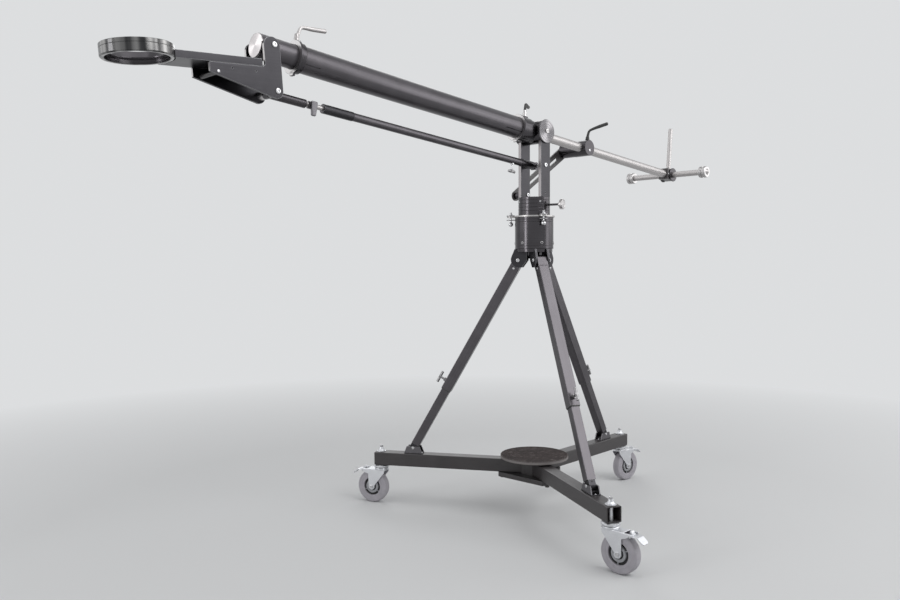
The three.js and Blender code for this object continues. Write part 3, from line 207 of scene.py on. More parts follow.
def plate(outline, thick, holes=(), edge=0.6, corner=None, steps=2):
    """A body cut from flat stock: its outline and holes in XY, its thickness up from Z 0, edges broken."""
    body = bmesh.new()
    # Marks the broken edges, where the finishes put chips, worn metal and a painted edge highlight.
    worn = body.faces.layers.float.new("edge")
    loops = [[point[:2] for point in rounded(outline, edge if corner is None else corner, 4)], *holes]
    for i, loop in enumerate(loops):
        area = sum(a[0] * b[1] - b[0] * a[1] for a, b in zip(loop, loop[1:] + loop[:1]))
        if (area > 0) != (i == 0):
            loop.reverse()
    curve = [math.pi / 2 * step / steps for step in range(steps + 1)]
    low = [(edge * (1 - math.sin(a)), edge * (1 - math.cos(a))) for a in curve] if edge else [(0, 0)]
    levels = low + [(inset, thick - height) for inset, height in reversed(low)]
    stacks = []
    for loop in loops:
        inward = []
        for i, point in enumerate(loop):
            back = (Vector(point) - Vector(loop[i - 1])).normalized()
            onward = (Vector(loop[(i + 1) % len(loop)]) - Vector(point)).normalized()
            first, second = Vector((-back.y, back.x)), Vector((-onward.y, onward.x))
            inward.append((first + second) / max(1 + first.dot(second), 0.2))
        stacks.append([
            [body.verts.new((*(Vector(p) + step * inset), height)) for p, step in zip(loop, inward)]
            for inset, height in levels
        ])
    for stack in stacks:
        for i, (under, over) in enumerate(zip(stack, stack[1:])):
            for k in range(len(under)):
                n = (k + 1) % len(under)
                body.faces.new((under[k], under[n], over[n], over[k]))[worn] = i != len(low) - 1
    for level in (0, -1):
        flat = [[corner.co.copy() for corner in stack[level]] for stack in stacks]
        corners = [corner for stack in stacks for corner in stack[level]]
        for triangle in tessellate_polygon(flat):
            if len(set(triangle)) == 3:
                body.faces.new([corners[i] for i in triangle])
    return sealed(body)


def oblong(x0, y0, x1, y1):
    return [(x0, y0), (x1, y0), (x1, y1), (x0, y1)]


def rounded_box(wide, high, radius):
    return [point[:2] for point in rounded(oblong(-wide, -high, wide, high), radius)]


def square(half, radius=0):
    return rounded_box(half, half, radius)


def ring_of(centre, radius, start, end, steps=16):
    """Points on an arc, from one angle in degrees to another."""
    angles = [math.radians(start + (end - start) * i / steps) for i in range(steps + 1)]
    return [(centre[0] + radius * math.cos(a), centre[1] + radius * math.sin(a)) for a in angles]


def hexagon(across):
    return ring_of((0, 0), across / math.sqrt(3), 0, 300, 5)


class Piece:
    """A piece on the bench, in millimetres. Bodies are put on it one by one, each with its finish."""

    def __init__(self, name, place):
        self.name, self.place = name, place
        self.corners, self.own, self.faces, self.edges, self.metals, self.finishes = ([] for _ in range(6))

    def put(self, body, finish, at=None, lit_faces=None):
        """Sets a body in place. The last argument is (a direction, a finish): faces turned that way get that
        brighter finish, painted light on the side the light falls on.
        """
        place = self.place @ at if at else self.place
        own, edge = body.verts.layers.float_vector["own"], body.faces.layers.float["edge"]
        start = len(self.corners)
        body.verts.index_update()
        for corner in body.verts:
            self.corners.append(place @ corner.co)
            self.own.extend(corner[own])
        for face in body.faces:
            self.faces.append([start + corner.index for corner in face.verts])
            self.edges.append(face[edge])
            shown = lit_faces[1] if lit_faces and face.normal.dot(Vector(lit_faces[0])) > 0.98 else finish
            if shown not in self.finishes:
                self.finishes.append(shown)
            self.metals.append(self.finishes.index(shown))
        body.free()
        return self

    def mesh(self):
        mesh = bpy.data.meshes.new(self.name)
        mesh.from_pydata(self.corners, [], self.faces)
        mesh.attributes.new("own", "FLOAT_VECTOR", "POINT").data.foreach_set("vector", self.own)
        mesh.attributes.new("edge", "FLOAT", "FACE").data.foreach_set("value", self.edges)
        for finish in self.finishes:
            mesh.materials.append(finish.material)
        mesh.polygons.foreach_set("material_index", self.metals)
        mesh.polygons.foreach_set("use_smooth", [True] * len(self.faces))
        mesh.set_sharp_from_angle(angle=math.radians(38))
        return mesh

    def fit(self, body, *nodes, slot=None):
        """Makes the piece an object that moves with a body of the crane, in place of its solids."""
        return fitted(bpy.data.objects.new(self.name, self.mesh()), body, nodes)


def as_seen(made):
    """The mesh of an object with its modifiers at work."""
    graph = bpy.context.evaluated_depsgraph_get()
    return bpy.data.meshes.new_from_object(
        made.evaluated_get(graph), preserve_all_data_layers=True, depsgraph=graph
    )


def fitted(made, body, nodes):
    """Puts an object in the scene with its modifiers applied, on a body of the crane."""
    bpy.context.scene.collection.objects.link(made)
    normals = made.modifiers.new("flat faces stay flat", "WEIGHTED_NORMAL")
    normals.keep_sharp = True
    mesh = as_seen(made)
    made.modifiers.clear()
    made.data = mesh
    mesh.name = made.name
    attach(made, body)
    if nodes:
        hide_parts(*nodes)
    return made


def at(x=0, y=0, z=0):
    return Matrix.Translation((x, y, z))


def turn(axis, angle):
    return Matrix.Rotation(math.radians(angle), 4, axis)


along_x, along_y, upright = turn("Y", 90), turn("X", -90), turn("X", 90)
joints = {joint["name"]: joint for joint in frame["joints"]}
pan_axis = Vector(joints["pan"]["pos_m"])
bench = at(pan_axis.x, pan_axis.y) @ Matrix.Diagonal((0.001, 0.001, 0.001, 1))
front_turn = 242.5
arm_turns = {"front": front_turn, "rear": front_turn + 120, "left": front_turn + 240}
arm_places = {name: bench @ turn("Z", angle) for name, angle in arm_turns.items()}
arm_top, arm_half, arm_wall, arm_start, arm_end = 203.5, 25, 3.2, 46, 628
for name, place in arm_places.items():
    hollow = square(arm_half - arm_wall, 1.5)
    tube = plate(square(arm_half), arm_end - arm_start, [hollow], edge=0.5, corner=4)
    piece = Piece("arm_tube_" + name, place)
    piece.put(tube, black_paint, at(arm_start, 0, arm_top - arm_half) @ along_x)
    piece.fit("dolly", "dolly_arm_" + name, slot="black_paint")

# Hub and deck
# The arms are clamped between a round plate and a thick three-cornered one, bolted from below with black
# cap screws. On top lies a round standing deck, its black grip sheet speckled and its rim worn pale.

hub_flat, hub_low, hub_high, hub_radius = 45.7, 136.2, 209.8, 100
on_arm, base_top, base_reach, base_corner, sunk = 203.8, 153.2, 134, 25, 3
hub = Piece("hub_and_plates", bench)
first_corner = arm_turns["front"] + 30
hub_post = ring_of((0, 0), hub_flat / math.cos(math.pi / 6), first_corner, first_corner + 300, 5)
hub.put(plate(hub_post, hub_high - base_top, corner=2), black_paint, at(z=base_top - sunk))


def turned(profile, sides=96, edge=0.5, steps=2):
    """A body turned about Z from (radius, height) points. One that starts off the axis is a closed ring."""
    closed = profile[0][0] > 0
    points = rounded(profile, edge, steps, closed)
    angles = [2 * math.pi * i / sides for i in range(sides)]
    rings = [
        [(r * math.cos(a), r * math.sin(a), z) for a in angles] if r > 1e-6 else [(0, 0, z)]
        for r, z, _ in points
    ]
    return lofted(rings, [mark for _, _, mark in points], closed)


def disc(radius, low, high, sides=96, edge=0.5, bore=0):
    profile = [(bore, low), (radius, low), (radius, high), (bore, high)]
    return turned(profile, sides, edge)


hub.put(disc(hub_radius, on_arm, hub_high, edge=0.8), black_paint)
base = [
    (Matrix.Rotation(math.radians(angle), 2) @ Vector((base_reach, side)))[:]
    for angle in arm_turns.values()
    for side in (-base_corner, base_corner)
]
hub.put(plate(base, base_top - hub_low, edge=1.2, corner=7), black_paint, at(z=hub_low))
hub.fit("dolly", "hub", slot="black_paint")


def socket_head(height, dome, key):
    """A screw head of radius 1 on Z 0, with a six-sided socket: key is its width across flats."""
    steps = [(1, 0, 0), (1, height - dome, 0)]
    for i in range(1, 5):
        a = math.pi / 2 * i / 4
        steps.append((1 - dome * 0.9 * (1 - math.cos(a)), height - dome + dome * math.sin(a), 0))
    steps += [(key * 0.62, height, 0), (key * 0.55, height, 1), (key * 0.5, height - 0.06, 1)]
    steps += [(key * 0.5, height * 0.35, 1)]
    rings = [[(0, 0, 0)]]
    for radius, z, six in steps:
        ring = []
        for i in range(36):
            a = 2 * math.pi * i / 36
            flat = (a + math.pi / 6) % (math.pi / 3) - math.pi / 6
            r = radius / math.cos(flat) if six else radius
            ring.append((r * math.cos(a), r * math.sin(a), z))
        rings.append(ring)
    rings.append([(0, 0, height * 0.3)])
    return lofted(rings, [False] * len(rings))


def fastener_tree():
    """Nodes that set a fastener's head on each point, facing out, turned by chance about its own axis."""
    tree = bpy.data.node_groups.new("fasteners in place", "GeometryNodeTree")
    kinds = {
        "Places": "Geometry", "Head": "Object", "Loose turn": "Float", "Seed": "Int", "Metal": "Material"
    }
    named = {
        name: tree.interface.new_socket(name, in_out="INPUT", socket_type="NodeSocket" + kind)
        for name, kind in kinds.items()
    }
    tree.interface.new_socket("Fasteners", in_out="OUTPUT", socket_type="NodeSocketGeometry")
    inputs = tree.nodes.new("NodeGroupInput").outputs
    places, pattern, loose, seed, metal = (Reading(tree, inputs[name]) for name in kinds)
    nodes = Nodes(tree)
    node = nodes.node

    def read(name, kind):
        return node("GeometryNodeInputNamedAttribute", {"data_type": kind}, {"Name": name})

    head = node("GeometryNodeObjectInfo", {}, {"Object": pattern}, "Geometry")
    align = "FunctionNodeAlignRotationToVector"
    facing = node(align, {"axis": "Z"}, {"Vector": read("facing", "FLOAT_VECTOR")})
    side = {"Rotation": facing, "Vector": read("along", "FLOAT_VECTOR")}
    squared = node(align, {"axis": "X", "pivot_axis": "Z"}, side)
    chance = {"Max": loose, "Seed": seed}
    angle = node("FunctionNodeRandomValue", {"data_type": "FLOAT"}, chance, "Value")
    spin = node("FunctionNodeEulerToRotation", {}, {0: node("ShaderNodeCombineXYZ", {}, {"Z": angle})})
    spun = {"Rotation": squared, "Rotate By": spin}
    rotation = node("FunctionNodeRotateRotation", {"rotation_space": "LOCAL"}, spun)
    copies = {"Points": places, "Instance": head, "Rotation": rotation, "Scale": read("size", "FLOAT")}
    placed = node("GeometryNodeInstanceOnPoints", {}, copies)
    real = node("GeometryNodeRealizeInstances", {}, {0: placed})
    finished = node("GeometryNodeSetMaterial", {}, {0: real, "Material": metal})
    nodes.wire(tree.nodes.new("NodeGroupOutput"), {0: finished})
    return tree, {name: socket.identifier for name, socket in named.items()}


fasteners, fastener_inputs = fastener_tree()


def fasten(name, body, head, metal, places, loose=6.28):
    """Fits heads to a body. Each place is (a piece's place, point, direction it faces, size[, along])."""
    points, facing, along, size = [], [], [], []
    for place, point, direction, scale, *rest in places:
        points.append(place @ Vector(point))
        facing.extend((place.to_3x3() @ Vector(direction)).normalized())
        side = Vector(rest[0]) if rest else Vector(direction).orthogonal()
        along.extend((place.to_3x3() @ side).normalized())
        size.append(scale / 1000)
    mesh = bpy.data.meshes.new(name)
    mesh.from_pydata(points, [], [])
    for attribute, values in (("facing", facing), ("along", along)):
        mesh.attributes.new(attribute, "FLOAT_VECTOR", "POINT").data.foreach_set("vector", values)
    mesh.attributes.new("size", "FLOAT", "POINT").data.foreach_set("value", size)
    made = bpy.data.objects.new(name, mesh)
    setting = made.modifiers.new("fasteners", "NODES")
    setting.node_group = fasteners
    given = {"Head": head, "Loose turn": loose, "Seed": 7, "Metal": metal.material}
    for socket, value in given.items():
        setting[fastener_inputs[socket]] = value
    return fitted(made, body, ())


def pattern(name, body):
    """A body kept as a pattern, from which the fasteners are copied."""
    mesh = Piece(name, Matrix()).put(body, black_paint).mesh()
    mesh.materials.clear()
    return bpy.data.objects.new(name, mesh)


button_head = pattern("button head", socket_head(0.42, 0.34, 0.72))
cap_head = pattern("cap head", socket_head(1.0, 0.12, 0.95))
places = [(place, (reach, 0, hub_low), (0, 0, -1), 8) for place in arm_places.values() for reach in (70, 122)]
fasten("hub_bolts", "dolly", cap_head, black_paint, places)

grip = Finish("grip sheet")
sand = grip.grain(0.0013, detail=2)
trodden = grip.grain(0.035, detail=5)
streaks = grip.grain(0.006, (5, 1, 1))
speck = sand.past(0.6, 14) * (0.35 + trodden * 0.9)
scuff = streaks.past(0.54, 7) * trodden.past(0.4, 5)
sheet = grip.blend(trodden, (0.008, 0.005, 0.005, 1), (0.036, 0.025, 0.024, 1))
sheet = grip.blend(speck * 0.5, sheet, (0.16, 0.14, 0.135, 1))
sheet = grip.blend(scuff * 0.8, sheet, (0.15, 0.125, 0.12, 1))
grip.surface({
    "Base Color": grip.blend(grip.edge * (0.4 + trodden * 0.6), sheet, (0.26, 0.24, 0.235, 1)),
    "Roughness": 0.9 - speck * 0.2 - grip.edge * 0.2,
    "Specular IOR Level": 0.25,
    "Normal": grip.dents(sand + trodden * 0.5, 0.0005),
})
deck_radius, deck_low, deck_high, bevel = 127, 210.1, 222.4, 1.5
deck = Piece("standing_deck", bench)
rim = [(0, deck_low), (deck_radius - bevel, deck_low), (deck_radius, deck_low + bevel)]
rim += [(deck_radius, deck_high - bevel), (deck_radius - bevel, deck_high), (0, deck_high)]
deck.put(turned(rim, 128, edge=1, steps=3), grip)
board = satin_paint("deck board", (0.11, 0.1, 0.1, 1), (0.24, 0.22, 0.215, 1), 0.5)
deck.put(disc(deck_radius + 0.3, deck_low + 1, deck_high - 2.6, 128, 0.6), board)
deck.fit("dolly", "deck_disc", slot="deck_grip")

# Foot brackets
# On each arm sits a small folded clevis of black steel, screwed down inside, which the tripod's foot is
# pinned to. The pin's plated heads show on both sides.


def metal(name, dark, light, roughness, lay="rings", edge_wear_and_glint=None, cut=0.000006, painted_fans=None, painted_bands=False):
    """A metal with the marks of its making: turned rings, drawn lines along it, or brushed across.

    The fans argument paints two bright fans turned to an angle, a painted highlight; the bands argument
    paints dark and light stretches round a ring, a painted reflection. An edge colour lightens the broken
    edges: partly worn metal, partly a painted highlight.
    """
    made = Finish(name)
    on, stretch = made.own, {"rings": (1, 1, 1), "drawn": (1, 1, 90), "brushed": (60, 1, 1)}[lay]
    if lay == "rings":
        flat = made.node("ShaderNodeVectorMath", {"operation": "MULTIPLY"}, {0: made.own, 1: (1, 1, 0)})
        reach = made.node("ShaderNodeVectorMath", {"operation": "LENGTH"}, {0: flat}, "Value")
        height = made.node("ShaderNodeSeparateXYZ", {}, {0: made.own}, "Z")
        on = made.node("ShaderNodeCombineXYZ", {}, {"X": reach, "Z": height})
    fine = made.grain(0.0008, stretch, 2, on)
    broad = made.grain(0.004, stretch, 3, on)
    cloud = made.grain(0.045, detail=4)
    tone = broad * 0.5 + cloud * 0.5
    # Two bright fans round the axis, a painted highlight of the kind a lathed face throws.
    if painted_fans:
        across, up = (made.node("ShaderNodeSeparateXYZ", {}, {0: flat}, name) for name in "XY")
        around = up.worked("ARCTAN2", up, across) - math.radians(painted_fans)
        tone = tone * 0.4 + around.worked("ABSOLUTE", around.worked("COSINE", around)) ** 5 * 0.9
    # Dark and light stretches round a ring: a painted reflection.
    if painted_bands:
        tone = made.grain(0.03, (1, 1, 60), 2).past(0.38, 3.2)
    colour = made.blend(tone, dark, light)
    sockets = {"Metallic": 1, "Normal": made.dents(fine, cut)}
    gloss = roughness + (fine - 0.5) * 0.06 + (broad - 0.5) * 0.1 + (cloud - 0.5) * 0.1
    if edge_wear_and_glint:
        # Every broken edge lightens towards the edge colour, by chance more or less: partly worn metal,
        # partly a painted highlight along the edge.
        bright = made.edge * (0.3 + made.grain(0.03) * 0.6)
        colour = made.blend(bright, colour, edge_wear_and_glint)
        gloss = gloss + bright * (0.3 - roughness)
    sockets.update({"Base Color": colour, "Roughness": gloss})
    return made.surface(sockets)


zinc = metal("bright zinc", (0.5, 0.51, 0.53, 1), (0.74, 0.745, 0.77, 1), 0.44, "drawn")
steel = metal("plated screws", (0.5, 0.5, 0.51, 1), (0.68, 0.68, 0.69, 1), 0.24)
bracket_black = metal("blackened steel", (0.1, 0.096, 0.103, 1), (0.19, 0.184, 0.195, 1), 0.34, "brushed")
foot_reach, foot_pin, cheek_half, cheek_thick = 472, 226, 16.5, 4
foot_low, foot_high, foot_top, foot_floor = 37, 25.5, 231.8, 206.8
screws, pins = [], []


def plated_screws(name, body, places):
    """Button heads of plated steel, which most of the crane is screwed together with."""
    return fasten(name, body, button_head, steel, places)


def block(low, high, edge=0.6, corner=None):
    """A squared body between two opposite corners."""
    body = plate(oblong(*low[:2], *high[:2]), high[2] - low[2], edge=edge, corner=corner)
    bmesh.ops.translate(body, vec=(0, 0, low[2]), verts=body.verts)
    return sealed(body)


for name, place in arm_places.items():
    bracket = Piece("foot_clevis_" + name, place)
    cheek = [(foot_reach - foot_low, on_arm), (foot_reach + foot_low, on_arm)]
    cheek += [(foot_reach + foot_high, foot_top), (foot_reach - foot_high, foot_top)]
    for side in (cheek_half, cheek_thick - cheek_half):
        bracket.put(plate(cheek, cheek_thick, edge=0.4, corner=0.9), bracket_black, at(y=side) @ upright)
    low, high = (foot_reach - foot_low, -cheek_half, on_arm), (foot_reach + foot_low, cheek_half, foot_floor)
    bracket.put(block(low, high, 0.5, 1.5), bracket_black)
    bracket.put(disc(5, -cheek_half, cheek_half, 32), steel, at(foot_reach, 0, foot_pin) @ along_y)
    bracket.fit("dolly", "foot_bracket_" + name, slot="black_paint")
    for side in (-1, 1):
        pins.append((place, (foot_reach, side * cheek_half, foot_pin), (0, side, 0), 5.6))
        screws.append((place, (foot_reach + side * 31, 0, foot_floor), (0, 0, 1), 3.6))
plated_screws("foot_pin_heads", "dolly", pins)
plated_screws("foot_bracket_screws", "dolly", screws)

# Casters
# Pressed zinc-plated forks on a two-row ball race, held by a stem with a flanged nut above the arm. The
# grey tyre is moulded on a grey core with a groove between them, its dark floor painted shade, and a foot
# pedal brakes it.

caster_reach = 606
caster_turns = {"front": 30, "rear": -10, "left": -10}
race_low, fork_top, fork_thick, cheek_in, fork_half = 141.4, 134, 3, 18, 21
nut_low, nut_top, thread_start, thread_pitch = 206.3, 221.3, 210, 1.15
axle_x, axle_z, wheel_radius = 36, 63.194, 63.19
tyre = Finish("grey tyre")
dusty = tyre.grain(0.02, detail=5)
scratched = tyre.grain(0.002, (1, 1, 8))
worn = dusty * 0.7 + scratched * 0.3
tyre.surface({
    "Base Color": tyre.blend(worn, (0.26, 0.25, 0.275, 1), (0.46, 0.44, 0.475, 1)),
    "Roughness": 0.5 + dusty * 0.25,
    "Normal": tyre.dents(scratched + dusty, 0.0001),
})
core = Finish("grey wheel core")
moulded = core.grain(0.012)
core.surface({
    "Base Color": core.blend(moulded, (0.24, 0.245, 0.26, 1), (0.36, 0.365, 0.385, 1)),
    "Roughness": 0.36 + moulded * 0.2,
    "Normal": core.dents(core.grain(0.0015), 0.00005),
})
# Near-black rings put in grooves, gaps and holes: painted shade.
shadow = satin_paint("blackened groove", (0.006, 0.006, 0.006, 1), (0.014, 0.014, 0.014, 1), 0.6)


def formed_sheet(line, half, thick, tip, soft=0.8, steps=8):
    """A strip of sheet bent along a line in XZ, 2 half wide along Y, its far corners rounded off."""
    points = [Vector(point[:2]) for point in rounded(line, 9, 5, closed=False)]
    lengths = [0]
    for a, b in zip(points, points[1:]):
        lengths.append(lengths[-1] + (b - a).length)
    tip_start = lengths[-1] - tip
    tip_steps = [tip_start + tip * math.sin(math.pi / 2 * i / steps) for i in range(steps + 1)]
    rings = []
    for reach in sorted({*lengths, *tip_steps}):
        i = max(k for k in range(len(points) - 1) if lengths[k] <= reach + 1e-9)
        way = (points[i + 1] - points[i]).normalized()
        middle = points[i] + way * (reach - lengths[i])
        over = Vector((-way.y, way.x))
        past = max(0, reach - tip_start)
        wide = half - tip + math.sqrt(max(tip**2 - past**2, 1))
        ring = []
        for x, y in rounded_box(wide, thick / 2, soft):
            point = middle + over * (y - thick / 2)
            ring.append((point.x, x, point.y))
        rings.append(ring)
    ends = [tuple(sum(p[k] for p in ring) / len(ring) for k in range(3)) for ring in (rings[0], rings[-1])]
    return lofted([ends[:1], *rings, ends[1:]], [False] * (len(rings) + 2))


def both_ways(profile):
    """A profile above Z 0, followed by its mirror image below."""
    return profile + [(r, -z) for r, z in reversed(profile)]


for name, arm_place in arm_places.items():
    stem = Piece("caster_mount_" + name, arm_place @ at(caster_reach))
    race = [(0, 127.6), (13, 127.6), (13, 130.6), (9, 130.6), (9, race_low), (26, race_low)]
    race += [(28.4, race_low + 1.2), (30, race_low + 4), (30, 149), (26, 151.5), (22, 153.2)]
    race += [(8, 153.2), (8, on_arm), (0, on_arm)]
    stem.put(turned(race, 64), zinc)
    stem.put(disc(18, on_arm, nut_low, 64, 0.7, bore=6), zinc)
    nut = [(6, nut_low), (13.6, nut_low), (13.6, 208.2), (11.8, 210), (9, 214), (7.8, nut_top), (6, nut_top)]
    stem.put(turned(nut, 48, 0.8), zinc)
    thread = [(0, 206)]
    for i in range(16):
        z = thread_start + thread_pitch * i
        thread += [(6.5, z), (6.5, z + 0.45), (5.9, z + 0.8)]
    thread += [(5.6, 229.2), (0, 229.3)]
    stem.put(turned(thread, 40, 0), steel)
    stem.fit("dolly", "caster_stem_" + name, slot="zinc_plate")

    place = arm_place @ at(caster_reach) @ turn("Z", caster_turns[name])
    fork = Piece("caster_frame_" + name, place)
    fork_cheek = [(-22, fork_top - 1), (-20, 121), (axle_x - 12, axle_z + 4)]
    fork_cheek += ring_of((axle_x, axle_z), 13, 175, 360)[1:-1]
    fork_cheek += [(axle_x + 13, axle_z), (50, 113), (60, 116), (84, 126), (85, fork_top - 1)]
    for side in (fork_half, -cheek_in):
        fork.put(plate(fork_cheek, fork_thick, edge=0.9, corner=4), zinc, at(y=side) @ upright)
    crown_plate = ring_of((0, 0), 29.8, 135, 225, 12) + [(56, -21), (56, 21)]
    fork.put(plate(crown_plate, fork_thick, edge=1.4, corner=2.5, steps=3), zinc, at(z=131))
    lower_race = [(9.4, 132), (27, 132), (27, 138), (25.5, 140.2), (22, 141), (9.4, 141)]
    fork.put(turned(lower_race, 64, 0.8), zinc)
    # A near-black ring in the gap between the races: painted shade.
    race_gap_shade = [(24 + 2.1 * math.cos(a * math.pi / 4), 141 + 1.1 * math.sin(a * math.pi / 4)) for a in range(8)]
    fork.put(turned(race_gap_shade, 64, 0), shadow)
    fork.put(disc(6, -fork_half, fork_half, 32), steel, at(axle_x, 0, axle_z) @ along_y)
    for side in (-1, 1):
        out = at(axle_x, side * fork_half, axle_z) @ turn("X", -90 * side)
        fork.put(disc(9, 0, 0.9, 40, 0.3), zinc, out)
        fork.put(plate(hexagon(13), 3.4, edge=0.6, corner=0.8), steel, out @ at(z=0.3))
        if side > 0:
            fork.put(disc(4, 0, 4.3, 28, 0.7), steel, out)
    fork.fit("caster_" + name, "caster_fork_" + name, slot="zinc_plate")

    wheel = Piece("wheel_" + name, place @ at(axle_x, 0, axle_z) @ along_y)
    tread = [(35, 8), (35, 14.6), (36.2, 16), (44, 16), (45, 15.1), (46, 16), (54, 16), (55, 15.1)]
    tread += [(56, 16), (59, 15.6), (61.8, 13.4), (wheel_radius, 8)]
    wheel.put(turned(both_ways(tread), 128, 1.2, 3), tyre)
    web = [(6.5, 17), (11.6, 17), (12, 10), (17, 10), (17, 14.4), (18, 15.2), (25, 15.2), (26, 14.2)]
    web += [(26.2, 8), (35.1, 8)]
    wheel.put(turned(both_ways(web), 96, 0.6), core)
    for flip in (turn("X", 180), Matrix()):
        # Near-black floors in the wheel's recesses: painted shade.
        for start, end, deep in ((11.8, 17.2, 10.8), (26, 35.2, 8.6)):
            wheel.put(disc(end, deep - 1.2, deep, 96, 0.1, bore=start), shadow, flip)
        for spoke in (25, 145, 265):
            wheel.put(block((25.8, -2, 8), (35.2, 2, 12.5), 0.8), core, flip @ turn("Z", spoke))
    wheel.fit("wheel_" + name, "caster_wheel_" + name, slot="wheel_rubber")

    pedal = Piece("brake_lever_" + name, place @ at(75, 0, 124.5))
    pedal.put(formed_sheet([(-8, 0), (26, 3), (47, -15)], 17, 3, 9), zinc)
    pedal.put(disc(5.2, -17, 17, 32), zinc, along_y)
    pedal.put(disc(3, -21, 21, 24), steel, along_y)
    tab = [(-6, 0), (6, 0), (4, 9), (0.5, 15), (-2, 15), (-5, 8)]
    pedal.put(plate(tab, 16, edge=0.8, corner=1.5), zinc, at(y=8) @ upright)
    pedal.fit("pedal_" + name, "brake_pedal_" + name, slot="zinc_plate")

# Crown
# The head of the tripod: a black anodised disc with three pairs of cheeks, in which the legs hang on
# bolts with bright heads, and a round core between them.

turned_black = metal(
    "turned black anodising", (0.05, 0.047, 0.051, 1), (0.095, 0.09, 0.097, 1), 0.22, cut=0.000002
)
milled = (0.034, 0.033, 0.036, 1), (0.07, 0.068, 0.074, 1)
milled_black = metal("milled black anodising", *milled, 0.34, "brushed", edge_wear_and_glint=(0.3, 0.3, 0.31, 1))
crown_top, crown_pin, crown_pin_z, cheek_radius, cheek_side = 996.4, 57.1, 954.5, 27, 19.45
crown = Piece("crown_casting", bench)
crown.put(disc(68, crown_top - 12, crown_top, 128, 1), turned_black)
crown.put(disc(25, crown_top - 36, crown_top - 11.5, 64, 1.5), turned_black)
crown_cheek = [(24, crown_top - 2), (24, crown_pin_z)]
crown_cheek += [(crown_pin - cheek_radius / 2, crown_pin_z - cheek_radius)]
crown_cheek += ring_of((crown_pin, crown_pin_z), cheek_radius, -90, 0, 14)
crown_cheek += [(crown_pin + cheek_radius, crown_pin_z + 8), (crown_pin + 13, crown_top)]
crown_cheek += [(60, crown_top), (60, crown_top - 2)]
bolts = []
for place in arm_places.values():
    local = bench.inverted() @ place
    for side in (cheek_side + 8, -cheek_side):
        crown.put(plate(crown_cheek, 8, edge=0.9, corner=1.5), milled_black, local @ at(y=side) @ upright)
    crown.put(disc(6, -27.6, 27.6, 32), steel, local @ at(crown_pin, 0, crown_pin_z) @ along_y)
    for side in (-1, 1):
        bolts.append((place, (crown_pin, side * 27.45, crown_pin_z), (0, side, 0), 7.6))
crown.fit("crown", "crown", slot="black_anodised")
plated_screws("crown_bolts", "crown", bolts)

# Legs
# Square aluminium tubes, drawn and black anodised, the lower one sliding in the upper. Each upper tube
# ends in a rounded hinge block, and near its mouth a screw with a cross handle clamps the lower one.

